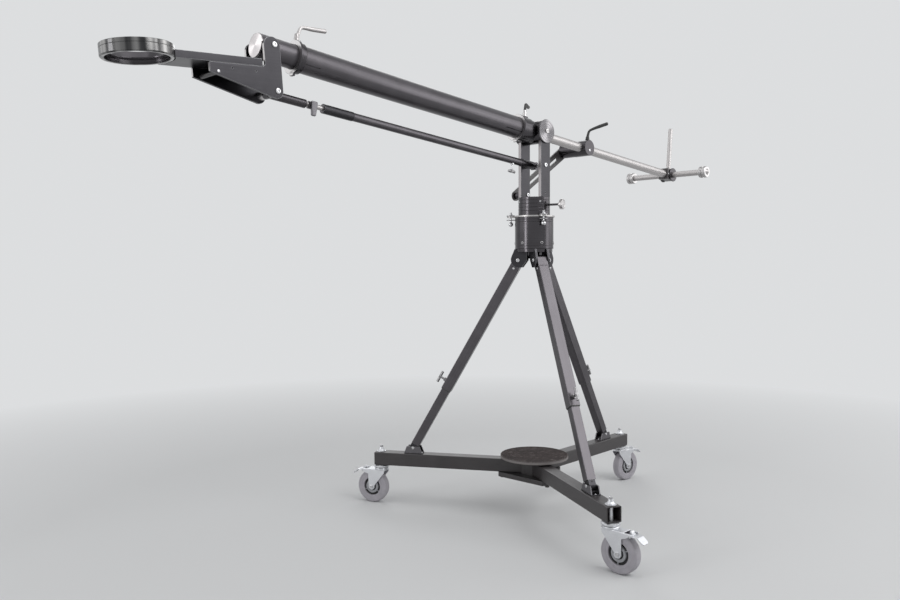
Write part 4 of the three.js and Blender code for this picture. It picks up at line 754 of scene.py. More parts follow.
drawn = (0.066, 0.062, 0.067, 1), (0.14, 0.132, 0.142, 1)
drawn_black = metal("drawn black anodising", *drawn, 0.32, "drawn", edge_wear_and_glint=(0.4, 0.4, 0.4, 1))
grey_steel = metal("turned grey", (0.2, 0.195, 0.2, 1), (0.34, 0.335, 0.34, 1), 0.32)
nylon = satin_paint("black nylon", (0.014, 0.014, 0.015, 1), (0.03, 0.03, 0.03, 1), 0.5)
foot_drop, foot_out = crown_pin_z - foot_pin, foot_reach - crown_pin
leg_length = math.hypot(foot_drop, foot_out)
leg_lean = math.degrees(math.atan2(foot_out, foot_drop))
leg_half, leg_wall, leg_end, lock_at, slide_half = 19.05, 2.5, 570, 541, 16.05
for name, arm_place in arm_places.items():
    place = arm_place @ at(crown_pin, 0, crown_pin_z) @ turn("Y", -leg_lean)
    upper = Piece("leg_tube_" + name, place)
    hollow = [square(leg_half - leg_wall, 1)]
    upper.put(plate(square(leg_half), leg_end - 30, hollow, 0.4, corner=2.6), drawn_black, at(z=-leg_end))
    hinge = [(-leg_half, -34), (leg_half, -34), *ring_of((0, 0), leg_half, 0, 180, 24)]
    upper.put(plate(hinge, 2 * leg_half, edge=0.8, corner=0), drawn_black, at(y=leg_half) @ upright)
    glide = plate(square(leg_half - leg_wall + 0.1), 14, [square(slide_half + 0.3, 2.4)], 0.3)
    upper.put(glide, nylon, at(z=-leg_end + 0.6))
    lip = plate(square(leg_half - 0.9), 4, [square(slide_half + 0.3, 2.4)], 0.5, corner=2)
    upper.put(lip, nylon, at(z=-leg_end - 3.6))
    upper.put(disc(8, -1, 4, 40, 0.8, bore=4.3), grey_steel, at(leg_half, 0, -lock_at) @ along_x)
    upper.fit("upper_leg_" + name, "upper_leg_" + name, slot="black_anodised")
    pair = [(place, (0, side * leg_half, -35), (0, side, 0), 4.6) for side in (-1, 1)]
    plated_screws("hinge_screws_" + name, "upper_leg_" + name, pair)

    lower = Piece("slide_tube_" + name, place)
    start, end = 340, leg_length - 17
    hollow = [square(slide_half - 2.5, 1)]
    lower.put(plate(square(slide_half), end - start, hollow, 0.5, corner=2.4), drawn_black, at(z=-end))
    lower.put(plate(square(slide_half - 2.4), 6, edge=0.4, corner=1), nylon, at(z=-end - 0.8))
    toe = slide_half - 0.2
    tongue = [(-toe, -end + 5), *ring_of((0, -leg_length), toe, -180, 0, 20), (toe, -end + 5)]
    pin_hole = [ring_of((0, -leg_length), 7.4, 0, 345, 23)]
    lower.put(plate(tongue, 24, pin_hole, edge=0.7, corner=0), milled_black, at(y=12) @ upright)
    lower.fit("lower_leg_" + name, "lower_leg_" + name, slot="black_anodised")
    toe_screw = [(place @ at(toe, 0, 11 - leg_length), (0, 0, 0), (1, 0, 0), 3)]
    fasten("toe_screw_" + name, "lower_leg_" + name, button_head, black_paint, toe_screw)

    lock = Piece("leg_clamp_" + name, place @ at(leg_half, 0, -lock_at))
    lock.put(disc(4, -2, 27, 28), grey_steel, along_x)
    lock.put(disc(7.2, 5.4, 9, 32, 0.8, bore=3), grey_steel, along_x)
    lock.put(disc(5.2, -23, 23, 36, 1.4), grey_steel, at(27))
    lock.put(disc(6, -5, 4.6, 32, 0.9), grey_steel, at(27) @ along_x)
    lock.fit("leg_lock_" + name, "leg_lock_" + name, slot="turned_grey")

# Riser and tie-down plate
# A turned black tube with fine grooves near both ends stands on the crown. On it lies a round plate with
# three ears, each holding an upright screw with two washers and a ball foot.

riser_low, riser_high, riser_radius, riser_bore = 996.7, 1113, 71.6, 65.6


def groove(radius, z):
    """Points for a profile where a groove is cut into a round body."""
    return [(radius, z), (radius - 1.1, z + 0.2), (radius - 1.1, z + 1.4), (radius, z + 1.6)]


riser = Piece("riser_tube", bench)
wall = [(riser_bore, riser_low), (riser_radius, riser_low)]
for z in (riser_low + 9, riser_high - 18, riser_high - 9):
    wall += groove(riser_radius, z)
wall += [(riser_radius, riser_high), (riser_bore, riser_high)]
riser.put(turned(wall, 128), turned_black)
riser.put(disc(66, riser_high - 8, riser_high, 96, 0.4), turned_black)
riser.fit("crown", "riser", slot="black_anodised")
set_screws = [
    (place @ turn("Z", angle), (riser_radius - 0.9, 0, riser_low + 21.5), (1, 0, 0), 6)
    for place in arm_places.values()
    for angle in (0, 60)
]
fasten("riser_screws", "crown", button_head, grey_steel, set_screws)

tie_low, tie_high, ear_reach, ear_spread = 1113.3, 1119.3, 88, 9.6
ball_radius, ball_drop = 9, 24.3
satin_plate = metal("satin plate", (0.34, 0.33, 0.33, 1), (0.52, 0.51, 0.5, 1), 0.36)
tie = Piece("tie_plate", bench)
outline = []
for angle in arm_turns.values():
    outline += ring_of((0, 0), 76, angle - 120 + ear_spread, angle - ear_spread, 40)
    ear = (ear_reach * math.cos(math.radians(angle)), ear_reach * math.sin(math.radians(angle)))
    outline += ring_of(ear, 14, angle - 104, angle + 104, 18)
tie.put(plate(outline, tie_high - tie_low, edge=0.8, corner=0), satin_plate, at(z=tie_low))
for place in arm_places.values():
    ear = bench.inverted() @ place @ at(ear_reach)
    tie.put(disc(3, tie_low - ball_drop, tie_high + 14, 28, 0.6), steel, ear)
    tie.put(disc(16, tie_high - 0.3, tie_high + 3, 56, 0.9), grey_steel, ear)
    tie.put(disc(16, tie_low - 10, tie_low - 7, 56, 0.9), grey_steel, ear)
    tie.put(plate(hexagon(11), 5, edge=0.5, corner=0.6), steel, ear @ at(z=tie_high + 3))
    tie.put(disc(4.4, tie_high + 11, tie_high + 14.7, 28, 1.2), steel, ear)
    ball = ring_of((0, 0), ball_radius, -90, 90, 15)
    ball[0], ball[-1] = (0, -ball_radius), (0, ball_radius)
    tie.put(turned(ball, 36, 0), steel, ear @ at(z=tie_low - ball_drop))
tie.fit("crown", "tie_down_plate", slot="turned_grey")

# Pan bearing
# Two turned black rings that face each other, the upper one with a spigot in the lower. A bright knurled
# knob on a black screw sets the drag.

neck, pan_split, neck_top = 58.8, 1150, 1187
lower_ring = Piece("pan_bearing_ring", bench)
bearing = [(30.4, 1119.6), (neck, 1119.6), *groove(neck, 1136), (neck, 1148)]
bearing += [(neck - 1.2, 1148), (neck - 1.2, 1149.6), (30.4, 1149.6)]
lower_ring.put(turned(bearing, 128), turned_black)
lower_ring.fit("crown", "pan_base", slot="black_anodised")
head = Piece("pan_bearing_head", bench)
turntable = [(0, 1126), (30, 1126), (30, pan_split), (neck, pan_split), *groove(neck, 1162), (neck, 1175)]
turntable += [(neck - 1.2, 1175), (neck - 1.2, 1176.6), (neck, 1176.6), (neck, neck_top), (0, neck_top)]
head.put(turned(turntable, 128), turned_black)
head.fit("pan", "pan_head", slot="black_anodised")
places = [(bench @ turn("Z", angle), (neck - 1, 0, 1169.5), (1, 0, 0), 3.2) for angle in (20, 150, -118)]
plated_screws("pan_head_screws", "pan", places)

bare = (0.4, 0.385, 0.385, 1), (0.52, 0.5, 0.495, 1)
ground = metal("ground aluminium bar", *bare, 0.42, "drawn", cut=0.000001)
polished = metal("polished aluminium", (0.44, 0.43, 0.43, 1), (0.6, 0.585, 0.585, 1), 0.3)
buffed = metal("buffed aluminium", (0.52, 0.505, 0.5, 1), (0.62, 0.6, 0.6, 1), 0.36, cut=0.000001)
knob_place = bench @ turn("Z", -73) @ at(neck, 0, 1159)
knob = Piece("drag_knob", knob_place)
knob.put(disc(4, 0.3, 46, 28, 0.4), turned_black, along_x)
knob.put(disc(8.5, 39, 46, 36, 1.4), buffed, along_x)
grip_end = [(0, 45.7), (18.2, 45.7), (18.2, 57.2), (16.6, 58), (14.4, 58), (13.8, 57.3), (6.6, 57.3)]
knob.put(turned([*grip_end, (6, 57.9), (0, 57.9)], 72, 0.4), buffed, along_x)
knob.fit("pan_knob", "pan_knob", slot="bare_aluminium")
rib = pattern("knurl rib", plate(oblong(-0.5, -0.42, 0.5, 0.42), 0.9, edge=0.22))


def knurl(name, body, place, count, radius, length, rows):
    """Ribs round a knob about its Z axis, in rows one above another."""
    places = []
    for low in rows:
        for i in range(count):
            spin = place @ turn("Z", 360 * i / count)
            for k in range(length):
                places.append((spin, (radius, 0, low + k + 0.5), (1, 0, 0), 1, (0, 0, 1)))
    return fasten(name, body, rib, polished, places, loose=0)


knurl("drag_knob_knurl", "pan_knob", knob_place @ along_x, 44, 17.9, 9, (47,))

# Post
# Two flat black uprights stand on the pan bearing, each with a round bearing housing at the top. The
# boom's axle runs between them under two turned caps with bright centre bolts.

# A lighter brushed grey for the uprights' front faces: painted light, where the light from the front falls.
front_lit_paint = metal("worn edge", (0.22, 0.205, 0.21, 1), (0.36, 0.34, 0.345, 1), 0.34, "brushed")
upright_half, upright_out, upright_thick = 26, 54.6, 12.7
pivot_z, housing, housing_deep, link_drop, strut_drop = 1426.3, 42, 22.6, 122.2, 225
level_z, strut_x, strut_z, tapped_z, washer_out = pivot_z - link_drop, 13, pivot_z - strut_drop, 1203, 111.8
bar_stock = oblong(-upright_half, neck_top + 0.3, upright_half, pivot_z)
housing_ring = [(15.4, 0), (housing - 1, 0), (housing, 1), (housing, housing_deep), (15.4, housing_deep)]
for side, name in ((-1, "near"), (1, "far")):
    post = Piece("post_" + name, bench)
    outer = max(side * upright_out, side * (upright_out - upright_thick))
    tapped = [ring_of((0, tapped_z), 2.4, 0, 330, 11)] if name == "near" else []
    bar = plate(bar_stock, upright_thick, tapped, edge=0.8, corner=0.8)
    # The front face of each upright takes the lighter grey: painted light from the front.
    post.put(bar, milled_black, at(y=outer) @ upright, ((-1, 0, 0), front_lit_paint))
    out = at(0, side * upright_out, pivot_z) @ turn("X", 90 * side)
    post.put(turned(housing_ring, 128, 0.6), turned_black, out)
    if name == "near":
        post.put(disc(6, -upright_out, 48.2, 36), steel, at(0, 0, level_z) @ along_y)
        # A near-black plug in the tapped hole: painted shade.
        post.put(disc(2.6, -48, -43, 16, 0), shadow, at(0, 0, tapped_z) @ along_y)
    else:
        pin = at(strut_x, 0, strut_z) @ along_y
        post.put(disc(12, 54.3, 98.6, 48, 0.8), turned_black, pin)
        post.put(disc(6, 54, 107.8, 36), steel, pin)
        post.put(disc(11, 107.8, washer_out, 48, 0.8), steel, pin)
    post.fit("pan", "upright_" + name, slot="black_anodised")
places = [
    (bench, (0, -upright_out, level_z), (0, -1, 0), 8.4),
    (bench, (strut_x, upright_out - upright_thick, strut_z), (0, -1, 0), 8.2),
    (bench, (strut_x, washer_out, strut_z), (0, 1, 0), 6),
]
plated_screws("post_screws", "pan", places)

# The caps' light colour goes mostly into two bright fans, a painted highlight, over their turned rings.
rings_and_highlight = (0.05, 0.048, 0.052, 1), (0.3, 0.29, 0.3, 1)
dull_black = metal("ringed black caps", *rings_and_highlight, 0.26, edge_wear_and_glint=(0.34, 0.34, 0.35, 1), cut=0.00002, painted_fans=60)
axle = Piece("boom_axle", bench @ at(z=pivot_z))
axle.put(disc(15, -54.7, 54.7, 48), steel, along_y)
cap = [(0, 0), (41.4, 0), (43, 1.2), (43, 5.2), (41.6, 6.9), (36, 6.9), (35.6, 6.1), (34, 6.1)]
cap += [(33.6, 6.9), (26, 6.9), (25.6, 6.2), (24.2, 6.2), (23.8, 6.9), (17, 6.9), (16.6, 6.2)]
cap += [(15.4, 6.2), (15, 6.9), (0, 6.9)]
for side in (-1, 1):
    axle.put(turned(cap, 128, 0.3), dull_black, at(y=side * 54.9) @ turn("X", -90 * side))
axle.fit("pan", "pivot_axle", slot="black_anodised")
places = [(bench, (0, side * 61.8, pivot_z), (0, side, 0), 9) for side in (-1, 1)]
fasten("cap_bolts", "pan", button_head, polished, places)

# Boom
# The pivot block and its barrel turn between the uprights. The black main tube is pushed onto the block
# and clamped by a slit and a collar; the front collar clamps the inner tube in the same way.

boom_tilt, boom_reach = 5.29, 1143.7
boom = bench @ at(z=pivot_z) @ turn("Y", boom_tilt)
collar, flange, clamp_bore, seat_low = 44, 48, 38.4, 39
main_radius, main_wall, main_end = 38.1, 3, 1046


def bored(body, *cutters):
    """A body with the cutters' shapes taken out of it. All share the body's own millimetres."""
    solids = []
    for shape in (body, *cutters):
        mesh = bpy.data.meshes.new("stock")
        shape.to_mesh(mesh)
        shape.free()
        solids.append(bpy.data.objects.new("stock", mesh))
        bpy.context.scene.collection.objects.link(solids[-1])
    for cutter in solids[1:]:
        cut = solids[0].modifiers.new("bore", "BOOLEAN")
        cut.operation, cut.solver, cut.object = "DIFFERENCE", "EXACT", cutter
    made = bmesh.new()
    made.from_mesh(as_seen(solids[0]))
    if not made.faces.layers.float.get("edge"):
        made.faces.layers.float.new("edge")
    for solid in solids:
        bpy.data.objects.remove(solid)
    return sealed(made)


def moved(body, place):
    bmesh.ops.transform(body, matrix=place, verts=body.verts)
    return body


def clamp_collar(piece, back, front, lever_at):
    """A ring about the boom with a flange at its front, a keel below and a lever's seat on top. The front
    faces of the flange and the keel are painted bright metal, as painted light from the front.
    """
    start, bright = at(-front), ((0, 0, -1), polished)
    lip = [(clamp_bore, 0), (flange - 0.6, 0), (flange, 0.8), (flange, 7.2), (flange - 0.8, 8)]
    piece.put(turned([*lip, (clamp_bore, 8)], 128, 0.3), turned_black, start @ along_x, bright)
    body = [(clamp_bore, 7.5), (collar, 7.5), (collar, front - back), (clamp_bore, front - back)]
    piece.put(turned(body, 128, 0.9), turned_black, start @ along_x)
    keel = plate(oblong(-9, -53, 9, -40), 8, edge=0.8, corner=3)
    piece.put(keel, turned_black, start @ turn("Z", 90) @ upright, bright)
    seat = oblong(-lever_at - 9, -11, -lever_at + 9, 11)
    piece.put(plate(seat, flange - seat_low, edge=0.8, corner=2.5), turned_black, at(z=seat_low))


pivot_block = Piece("pivot_block_and_collar", boom)
cheek_cuts = [
    moved(disc(42.6, 31.4, 50, 96, 0), turn("Y", -90) @ turn("X", -90 * side)) for side in (-1, 1)
]
pivot_block.put(bored(disc(40, -49.2, 0, 96, 0), *cheek_cuts), milled_black, along_x)
barrel = [(15.4, -31.4), (41.4, -31.4), (42, -30.8), (42, 30.8), (41.4, 31.4), (15.4, 31.4)]
pivot_block.put(turned(barrel, 128, 0.3), turned_black, along_y)
pivot_block.put(disc(34.7, -139, -48, 96, 0.6), turned_black, along_x)
clamp_collar(pivot_block, 49, 105, 60)
pivot_block.put(disc(collar, -53, -48.7, 96, 0.8, bore=20), turned_black, along_x)
pivot_block.fit("boom", "pivot_block", slot="black_anodised")

main = Piece("main_tube", boom)
pipe = disc(main_radius, -main_end, -49.3, 128, 0.5, bore=main_radius - main_wall)
slits = [
    moved(block((-1.25, -60, low), (1.25, -20, high), 0), turn("Z", 32))
    for low, high in ((-main_end - 5, -980), (-189, -40))
]
main.put(bored(pipe, *slits), drawn_black, along_x)
main.fit("boom", "outer_tube", slot="black_anodised")

front = Piece("front_clamp_collar", boom)
clamp_collar(front, 1033, 1055, 1045)
# The front collar's front face is painted bright metal, as painted light from the front.
front.put(disc(39, -1055, -1046.3, 128, 0.4, bore=34.9), turned_black, along_x, ((0, 0, -1), polished))
front.fit("boom", "front_collar", slot="black_anodised")

# Inner tube
# The telescoping front tube, drawn and black anodised too, which the front collar grips. A plug with a
# bright faced-off disc closes it.

inner = Piece("telescope_tube", boom)
inner.put(disc(34.5, -1170, -430, 128, 0.6, bore=31.5), drawn_black, along_x)
inner.put(disc(31.6, -1169, -1125, 96, 0.5), turned_black, along_x)
end_disc = [(0, -1174), (29, -1174), (33, -1173.4), (33.5, -1172.6), (33.5, -1169.5), (0, -1169.5)]
# The end disc's two brighter fans are a painted highlight over its turned rings.
lathed_with_highlight = metal("lathed end", (0.4, 0.38, 0.385, 1), (0.82, 0.78, 0.78, 1), 0.28, cut=0.00003, painted_fans=70)
inner.put(turned(end_disc, 128, 0.4), lathed_with_highlight, along_x)
inner.fit("boom_inner", "inner_tube", slot="black_anodised")

# Clamping levers
# Cranked handles on screws: the front one bright, the rear one with a black handle on a bright screw and
# the strut's all black. Each arm rises from its hub and sweeps out to a thicker, rounded end.


def swept(path, radii, sides=24, steps=4):
    """A rod along a path in XZ, with a radius at each point and domed ends."""
    points = [Vector((x, 0, z)) for x, z in path]
    angles = [2 * math.pi * k / sides for k in range(sides)]
    rings = []

    def ring(centre, way, radius):
        over, across = Vector((0, 1, 0)).cross(way) * radius, Vector((0, radius, 0))
        rings.append([centre + over * math.cos(a) + across * math.sin(a) for a in angles])

    for i, point in enumerate(points):
        way = (points[min(i + 1, len(points) - 1)] - points[max(i - 1, 0)]).normalized()
        if i == 0:
            rings.append([point - way * radii[0] * 0.7])
            for k in range(1, steps):
                a = math.pi / 2 * k / steps
                ring(point - way * radii[0] * 0.7 * math.cos(a), way, radii[0] * math.sin(a))
        ring(point, way, radii[i])
        if i == len(points) - 1:
            for k in range(steps - 1, 0, -1):
                a = math.pi / 2 * k / steps
                ring(point + way * radii[-1] * 0.7 * math.cos(a), way, radii[-1] * math.sin(a))
            rings.append([point + way * radii[-1] * 0.7])
    return lofted(rings, [False] * len(rings))


def smooth_path(points, steps=6):
    """A curve through points, by the rule that each stretch leaves along the line of its neighbours."""
    made = []
    for i in range(len(points) - 1):
        p0, p1 = Vector(points[max(i - 1, 0)]), Vector(points[i])
        p2, p3 = Vector(points[i + 1]), Vector(points[min(i + 2, len(points) - 1)])
        bend, twist = 2 * p0 - 5 * p1 + 4 * p2 - p3, 3 * p1 - p0 - 3 * p2 + p3
        for k in range(steps):
            t = k / steps
            made.append(0.5 * (2 * p1 + (p2 - p0) * t + bend * t * t + twist * t**3))
    return [point[:] for point in [*made, Vector(points[-1])]]


crank = [(0, 0.05), (0.04, 0.2), (0.1, 0.37), (0.2, 0.43), (0.5, 0.47), (0.93, 0.54)]
steep_crank = [(0, 0.08), (0.02, 0.3), (0.08, 0.5), (0.25, 0.62), (0.6, 0.78), (1, 0.95)]


def lever(name, body, place, reach, shares, handle, screw, slot):
    """A clamping lever, reach long, whose arm runs through shares of its reach."""
    piece = Piece(name, place)
    path = smooth_path([(reach * x, reach * z) for x, z in shares])
    along = [i / (len(path) - 1) for i in range(len(path))]
    radii = [6.4 - 1.8 * math.sin(math.pi * min(share * 1.25, 1)) + 0.2 * share for share in along]
    piece.put(swept(path, radii), handle)
    stud = [(0, 0.3), (8, 0.3), (8, 5.5), (7, 8.3), (7.4, 11)]
    stud += [(6.6, reach * 0.16), (5.6, reach * 0.2), (0, reach * 0.2)]
    piece.put(turned(stud, 40, 0.6), screw)
    return piece.fit(body, body, slot=slot)


rear_place = boom @ at(-60, 0, flange) @ turn("Z", 35)
lever("rear_clamp_lever", "rear_lever", rear_place, 120, crank, nylon, polished, "black_paint")
front_place = boom @ at(-1045, 0, flange)
lever("front_clamp_lever", "front_lever", front_place, 100, crank, ground, ground, "bare_aluminium")

# Tail
# A ground aluminium bar pushed into the pivot block carries the counterweights: a black block on its end
# holds a cross spindle with flanges, two knurled retainers and a lifting rod.

weight_x, weight_half, weight_high = 945.7, 22, 24
tail = Piece("tail_rod", boom)
tail.put(disc(17.5, 25.3, 925.4, 72, 0.8), ground, along_x)
tail.fit("boom", "tail_bar", slot="bare_aluminium")
end_block = Piece("tail_end_block", boom)
stock = oblong(weight_x - 42, -weight_half, weight_x + 20, weight_half)
end_block.put(plate(stock, 2 * weight_high, edge=1.2, corner=3), black_paint, at(z=-weight_high))
end_block.fit("boom", "tail_block", slot="black_paint")
spindle = Piece("weight_rod", boom @ at(weight_x))
rod = [(0, -200), (3, -199.7), (12.7, -190.5), (12.7, 205.5), (3, 214.7), (0, 215)]
spindle.put(turned(rod, 56, 0.4), ground, along_y)
for side in (-1, 1):
    lip = [(12, 22.3), (28.6, 22.3), (30, 23.4), (30, 26.2), (28.8, 27.3), (12, 27.3)]
    spindle.put(turned(lip, 72, 0.5), turned_black, turn("X", -90 * side))
handle = [(0, 20), (5, 20), (5, 24.3), (8.6, 24.3), (10, 26), (10, 208.6), (7.8, 211.3), (0, 211.3)]
spindle.put(turned(handle, 48, 0.5), ground)
spindle.fit("boom", "weight_spindle", slot="bare_aluminium")
for name, y in (("near", -175), ("far", 190)):
    place = boom @ at(weight_x, y) @ along_y
    retainer = Piece("weight_retainer_" + name, place)
    spool = [(13.1, -16.5), (22.5, -16.5), (24, -15.3), (24, -3), (21, -2.6), (21, 2.6), (24, 3)]
    spool += [(24, 15.3), (22.5, 16.5), (13.1, 16.5)]
    retainer.put(turned(spool, 72, 0.4), polished)
    retainer.fit("retainer_" + name, "retainer_" + name, slot="bare_aluminium")
    knurl("retainer_knurl_" + name, "retainer_" + name, place, 52, 23.7, 11, (-14.6, 3.6))
screw_x = weight_x - 31
places = [(boom, (screw_x, side * weight_half, 0), (0, side, 0), 4) for side in (-1, 1)]
places.append((boom, (screw_x, 0, weight_high), (0, 0, 1), 4))
plated_screws("tail_block_screws", "boom", places)

# Brake strut
# A flat black bar with a long slit runs from a spacer on the far upright up to a round clamp, which slides
# on the tail bar and is locked by a cranked lever.

clamp_x, strut_y, pin_drop = 304, 99, 15
clamp = Piece("strut_clamp_body", boom @ at(clamp_x))
drum = [(0, -32), (30, -32), (31, -31), (31, 36), (30, 36.6), (30, 98.6), (0, 98.6)]
slot_outline = [*ring_of((0, 12), 9.2, 0, 180, 14), *ring_of((0, -16), 9.2, 180, 360, 14)]
tail_hole = moved(disc(17.9, -50, 50, 72, 0), along_x)
pin_slot = moved(plate(slot_outline, 40, edge=0, corner=0), at(y=121.8) @ upright)
clamp.put(bored(moved(turned(drum, 96, 0.6), along_y), tail_hole, pin_slot), turned_black)
clamp.fit("strut_clamp", "strut_clamp", slot="black_anodised")
plated_screws("clamp_face_screw", "strut_clamp", [(boom, (clamp_x, -31.8, -10), (0, -1, 0), 5.6)])
lever_place = boom @ at(clamp_x, -18, 31) @ turn("Z", -44)
lever("strut_clamp_lever", "strut_lever", lever_place, 74, steep_crank, nylon, nylon, "black_paint")

tilt = math.radians(boom_tilt)
top_x = clamp_x * math.cos(tilt) - pin_drop * math.sin(tilt) - strut_x
top_z = -clamp_x * math.sin(tilt) - pin_drop * math.cos(tilt) + strut_drop
strut_length, strut_rise = math.hypot(top_x, top_z), math.degrees(math.atan2(top_z, top_x))
strut_place = bench @ at(strut_x, 0, strut_z) @ turn("Y", -strut_rise)
strut = Piece("brake_bar", strut_place)
end, slit_end = strut_length + 22, strut_length - 42
bar_outline = [*ring_of((0, 0), 19, 90, 270, 20), (end, -17), (end, 31)]
slit = rounded([(46, -5.5), (slit_end, -1.5), (slit_end, 9.5), (46, 5.5)], 5, 4)
holes = [[point[:2] for point in slit], ring_of((0, 0), 6.4, 0, 345, 23)]
strut.put(plate(bar_outline, 8, holes, edge=0.9, corner=4), black_paint, at(y=strut_y + 8) @ upright)
strut.put(disc(5, strut_y - 16.4, strut_y + 8, 32), steel, at(strut_length) @ along_y)
strut.put(disc(11, strut_y + 7.8, strut_y + 10.6, 48, 0.6), steel, at(strut_length) @ along_y)
strut.fit("strut", "strut", slot="black_paint")
bolt = (strut_place, (strut_length, strut_y + 10.4, 0), (0, 1, 0), 5)
plated_screws("brake_bar_bolt", "strut", [bolt])

# Level rod
# The lower side of the parallelogram: a black tube with an eye at the post, a bright rod telescoping out
# of its front, and a second eye at the platform. Two hanging knobs clamp it.

front_x, front_z = -boom_reach * math.cos(tilt), boom_reach * math.sin(tilt)
pitch = 4.4
lower_x = front_x + link_drop * math.sin(math.radians(pitch))
lower_z = front_z - link_drop * math.cos(math.radians(pitch)) + link_drop
level_length = math.hypot(lower_x, lower_z)
level = bench @ at(z=level_z) @ turn("Y", math.degrees(math.atan2(lower_z, -lower_x)))
knob_x = 123
tube = Piece("level_link_tube", level)
tube.put(disc(14, -12, 12, 64, 0.9, bore=6.4), turned_black, along_y)
tube.put(disc(14.5, -78, -7, 64, 1), turned_black, along_x)
tube.put(disc(12.7, -955, -77, 64, 0.6, bore=7.4), drawn_black, along_x)
sleeve = [(11, -955), (13.2, -955), (14, -954), (14, -848), (13.2, -847), (11, -847)]
tube.put(turned(sleeve, 64, 0.4), milled_black, along_x)
tube.put(disc(7, -17, -6, 32, 0.8), steel, at(-knob_x))
tube.fit("level_tube", "level_tube", slot="black_anodised")
slider = Piece("level_link_rod", level)
fitting_front, fitting_back = 7 - level_length, 120 - level_length
slider.put(disc(7, fitting_back - 0.5, -560, 48, 0.6), ground, along_x)
fitting = [(0, fitting_front), (12.7, fitting_front), (12.7, fitting_back - 1.5), (11.4, fitting_back)]
slider.put(turned([*fitting, (0, fitting_back)], 64, 0.6), turned_black, along_x)
slider.put(disc(14, -12, 12, 64, 0.9, bore=8.4), turned_black, at(-level_length) @ along_y)
stop = [(6, -1005), (10, -1005), (11, -1004), (11, -990), (10, -989), (6, -989)]
slider.put(turned(stop, 48, 0.4), turned_black, along_x)
slider.fit("level_rod", "level_rod", slot="bare_aluminium")
rear = Piece("level_knob_cross", level @ at(-knob_x, 0, -16.7))
rear.put(disc(3, -24, -0.3, 24, 0.4), steel)
cross = [(0, -18), (3.6, -17.6), (5, -15.5), (5, -8), (3.8, -6)]
cross += [(3.8, 6), (5, 8), (5, 15.5), (3.6, 17.6), (0, 18)]
rear.put(turned(cross, 36, 0.8), grey_steel, at(z=-24) @ along_x)
rear.put(disc(6, -28, -16, 32, 1.4), grey_steel)
rear.fit("level_knob_rear", "level_knob_rear", slot="black_paint")
paddle = Piece("level_knob_paddle", level @ at(-997, -11))
paddle.put(disc(3, 0.3, 6, 24, 0.4), steel, turn("X", 90))
blade = [(-10.5, 8), (10.5, 8), (10.5, -2), (7, -34), (-7, -34), (-10.5, -2)]
paddle.put(plate(blade, 8, edge=2.2, corner=4, steps=4), bracket_black, at(y=-5) @ upright)
paddle.fit("level_knob_front", "level_knob_front", slot="black_paint")

# Platform
# Two black side plates hang on the boom's and the level rod's front pins and carry a flat camera arm with
# a turned ring at its end, open for the ball of a camera head.

platform = bench @ at(front_x, 0, pivot_z + front_z) @ turn("Y", -pitch)
nose, nose_drop, step_drop, heel, heel_x, cross_x, cross_z = 195, 86, 61, 21, -4, -172, -84
rise, run = link_drop - nose_drop, -nose - heel_x
touch = math.degrees(math.atan2(rise, run) + math.acos(heel / math.hypot(run, rise)))
side_outline = [(-nose, -step_drop), (-nose, -nose_drop)]
side_outline += ring_of((heel_x, -link_drop), heel, touch - 360 if touch > 180 else touch, 0, 22)
side_outline += ring_of((-8, -4.5), 25, 0, 180, 26)
side_outline += [(-33, -step_drop + 6), (-39, -step_drop)]
for side, name in ((-42, "near"), (50, "far")):
    wing = Piece("platform_plate_" + name, platform)
    holes = [ring_of((x, z), 2.2, 0, 330, 11) for x, z in ((-62, -75), (-132, -73))]
    panel = plate(side_outline, 8, holes, edge=0.8, corner=3.5)
    # The plates' front-facing edges take the bright ground finish: painted light from the front.
    wing.put(panel, milled_black, at(y=side) @ upright, ((-1, 0, 0), ground))
    if name == "near":
        low = at(z=-link_drop) @ along_y
        for pin in (along_y, low):
            wing.put(disc(6, -50, 46, 36, 0.4), steel, pin)
        for start, end in ((-42.3, -12.8), (12.8, 41.7)):
            wing.put(disc(13, start, end, 56, 0.9), polished, low)
    else:
        wing.put(disc(6, -41.7, 42.3, 36, 0.4), black_paint, at(cross_x, 0, cross_z) @ along_y)
    wing.fit("platform", "side_plate_" + name, slot="black_anodised")
places = []
for x, z, size in ((0, 0, 8.2), (0, -link_drop, 8.2), (cross_x, cross_z, 4)):
    places += [(platform, (x, side * 50, z), (0, side, 0), size) for side in (-1, 1)]
plated_screws("platform_screws", "platform", places)

arm_low, arm_high = -step_drop + 0.3, -step_drop + 20.3
bowl_x, bowl_reach, wide = -357, 87.6, 50
camera_arm = Piece("camera_arm_bar", platform)
scoop = math.degrees(math.asin(wide / bowl_reach))
arm_outline = [(-40, -wide), (-40, wide), *ring_of((bowl_x, 0), bowl_reach, scoop, -scoop, 30)]
camera_arm.put(plate(arm_outline, 20, edge=1, corner=2), milled_black, at(z=arm_low))
camera_arm.put(block((-150, -41.7, arm_low - 14), (-46, 41.7, arm_low + 10), 1, 2), milled_black)
camera_arm.fit("platform", "camera_arm", slot="black_anodised")
places = [(platform, (x, y, arm_high), (0, 0, 1), 3.6) for x in (-62, -118) for y in (-30, 30)]
places.append((platform, (-232, -18, arm_high), (0, 0, 1), 4.2))
plated_screws("camera_arm_screws", "platform", places)

# The ring's dark and light stretches round it are a painted reflection.
ring_grey = metal("turned ring", (0.045, 0.045, 0.047, 1), (0.34, 0.335, 0.33, 1), 0.17, painted_bands=True)
bowl_ring = Piece("bowl_mount_ring", platform @ at(bowl_x, 0, arm_low))
shell = [(78, 0), (84, 0), (87, 3), (87, 20.6), (86.2, 21), (86.2, 21.6), (87, 22), (87, 30.8)]
shell += [(86, 32), (77, 32), (77, 4)]
bowl_ring.put(turned(shell, 160, 0.6, 3), ring_grey)
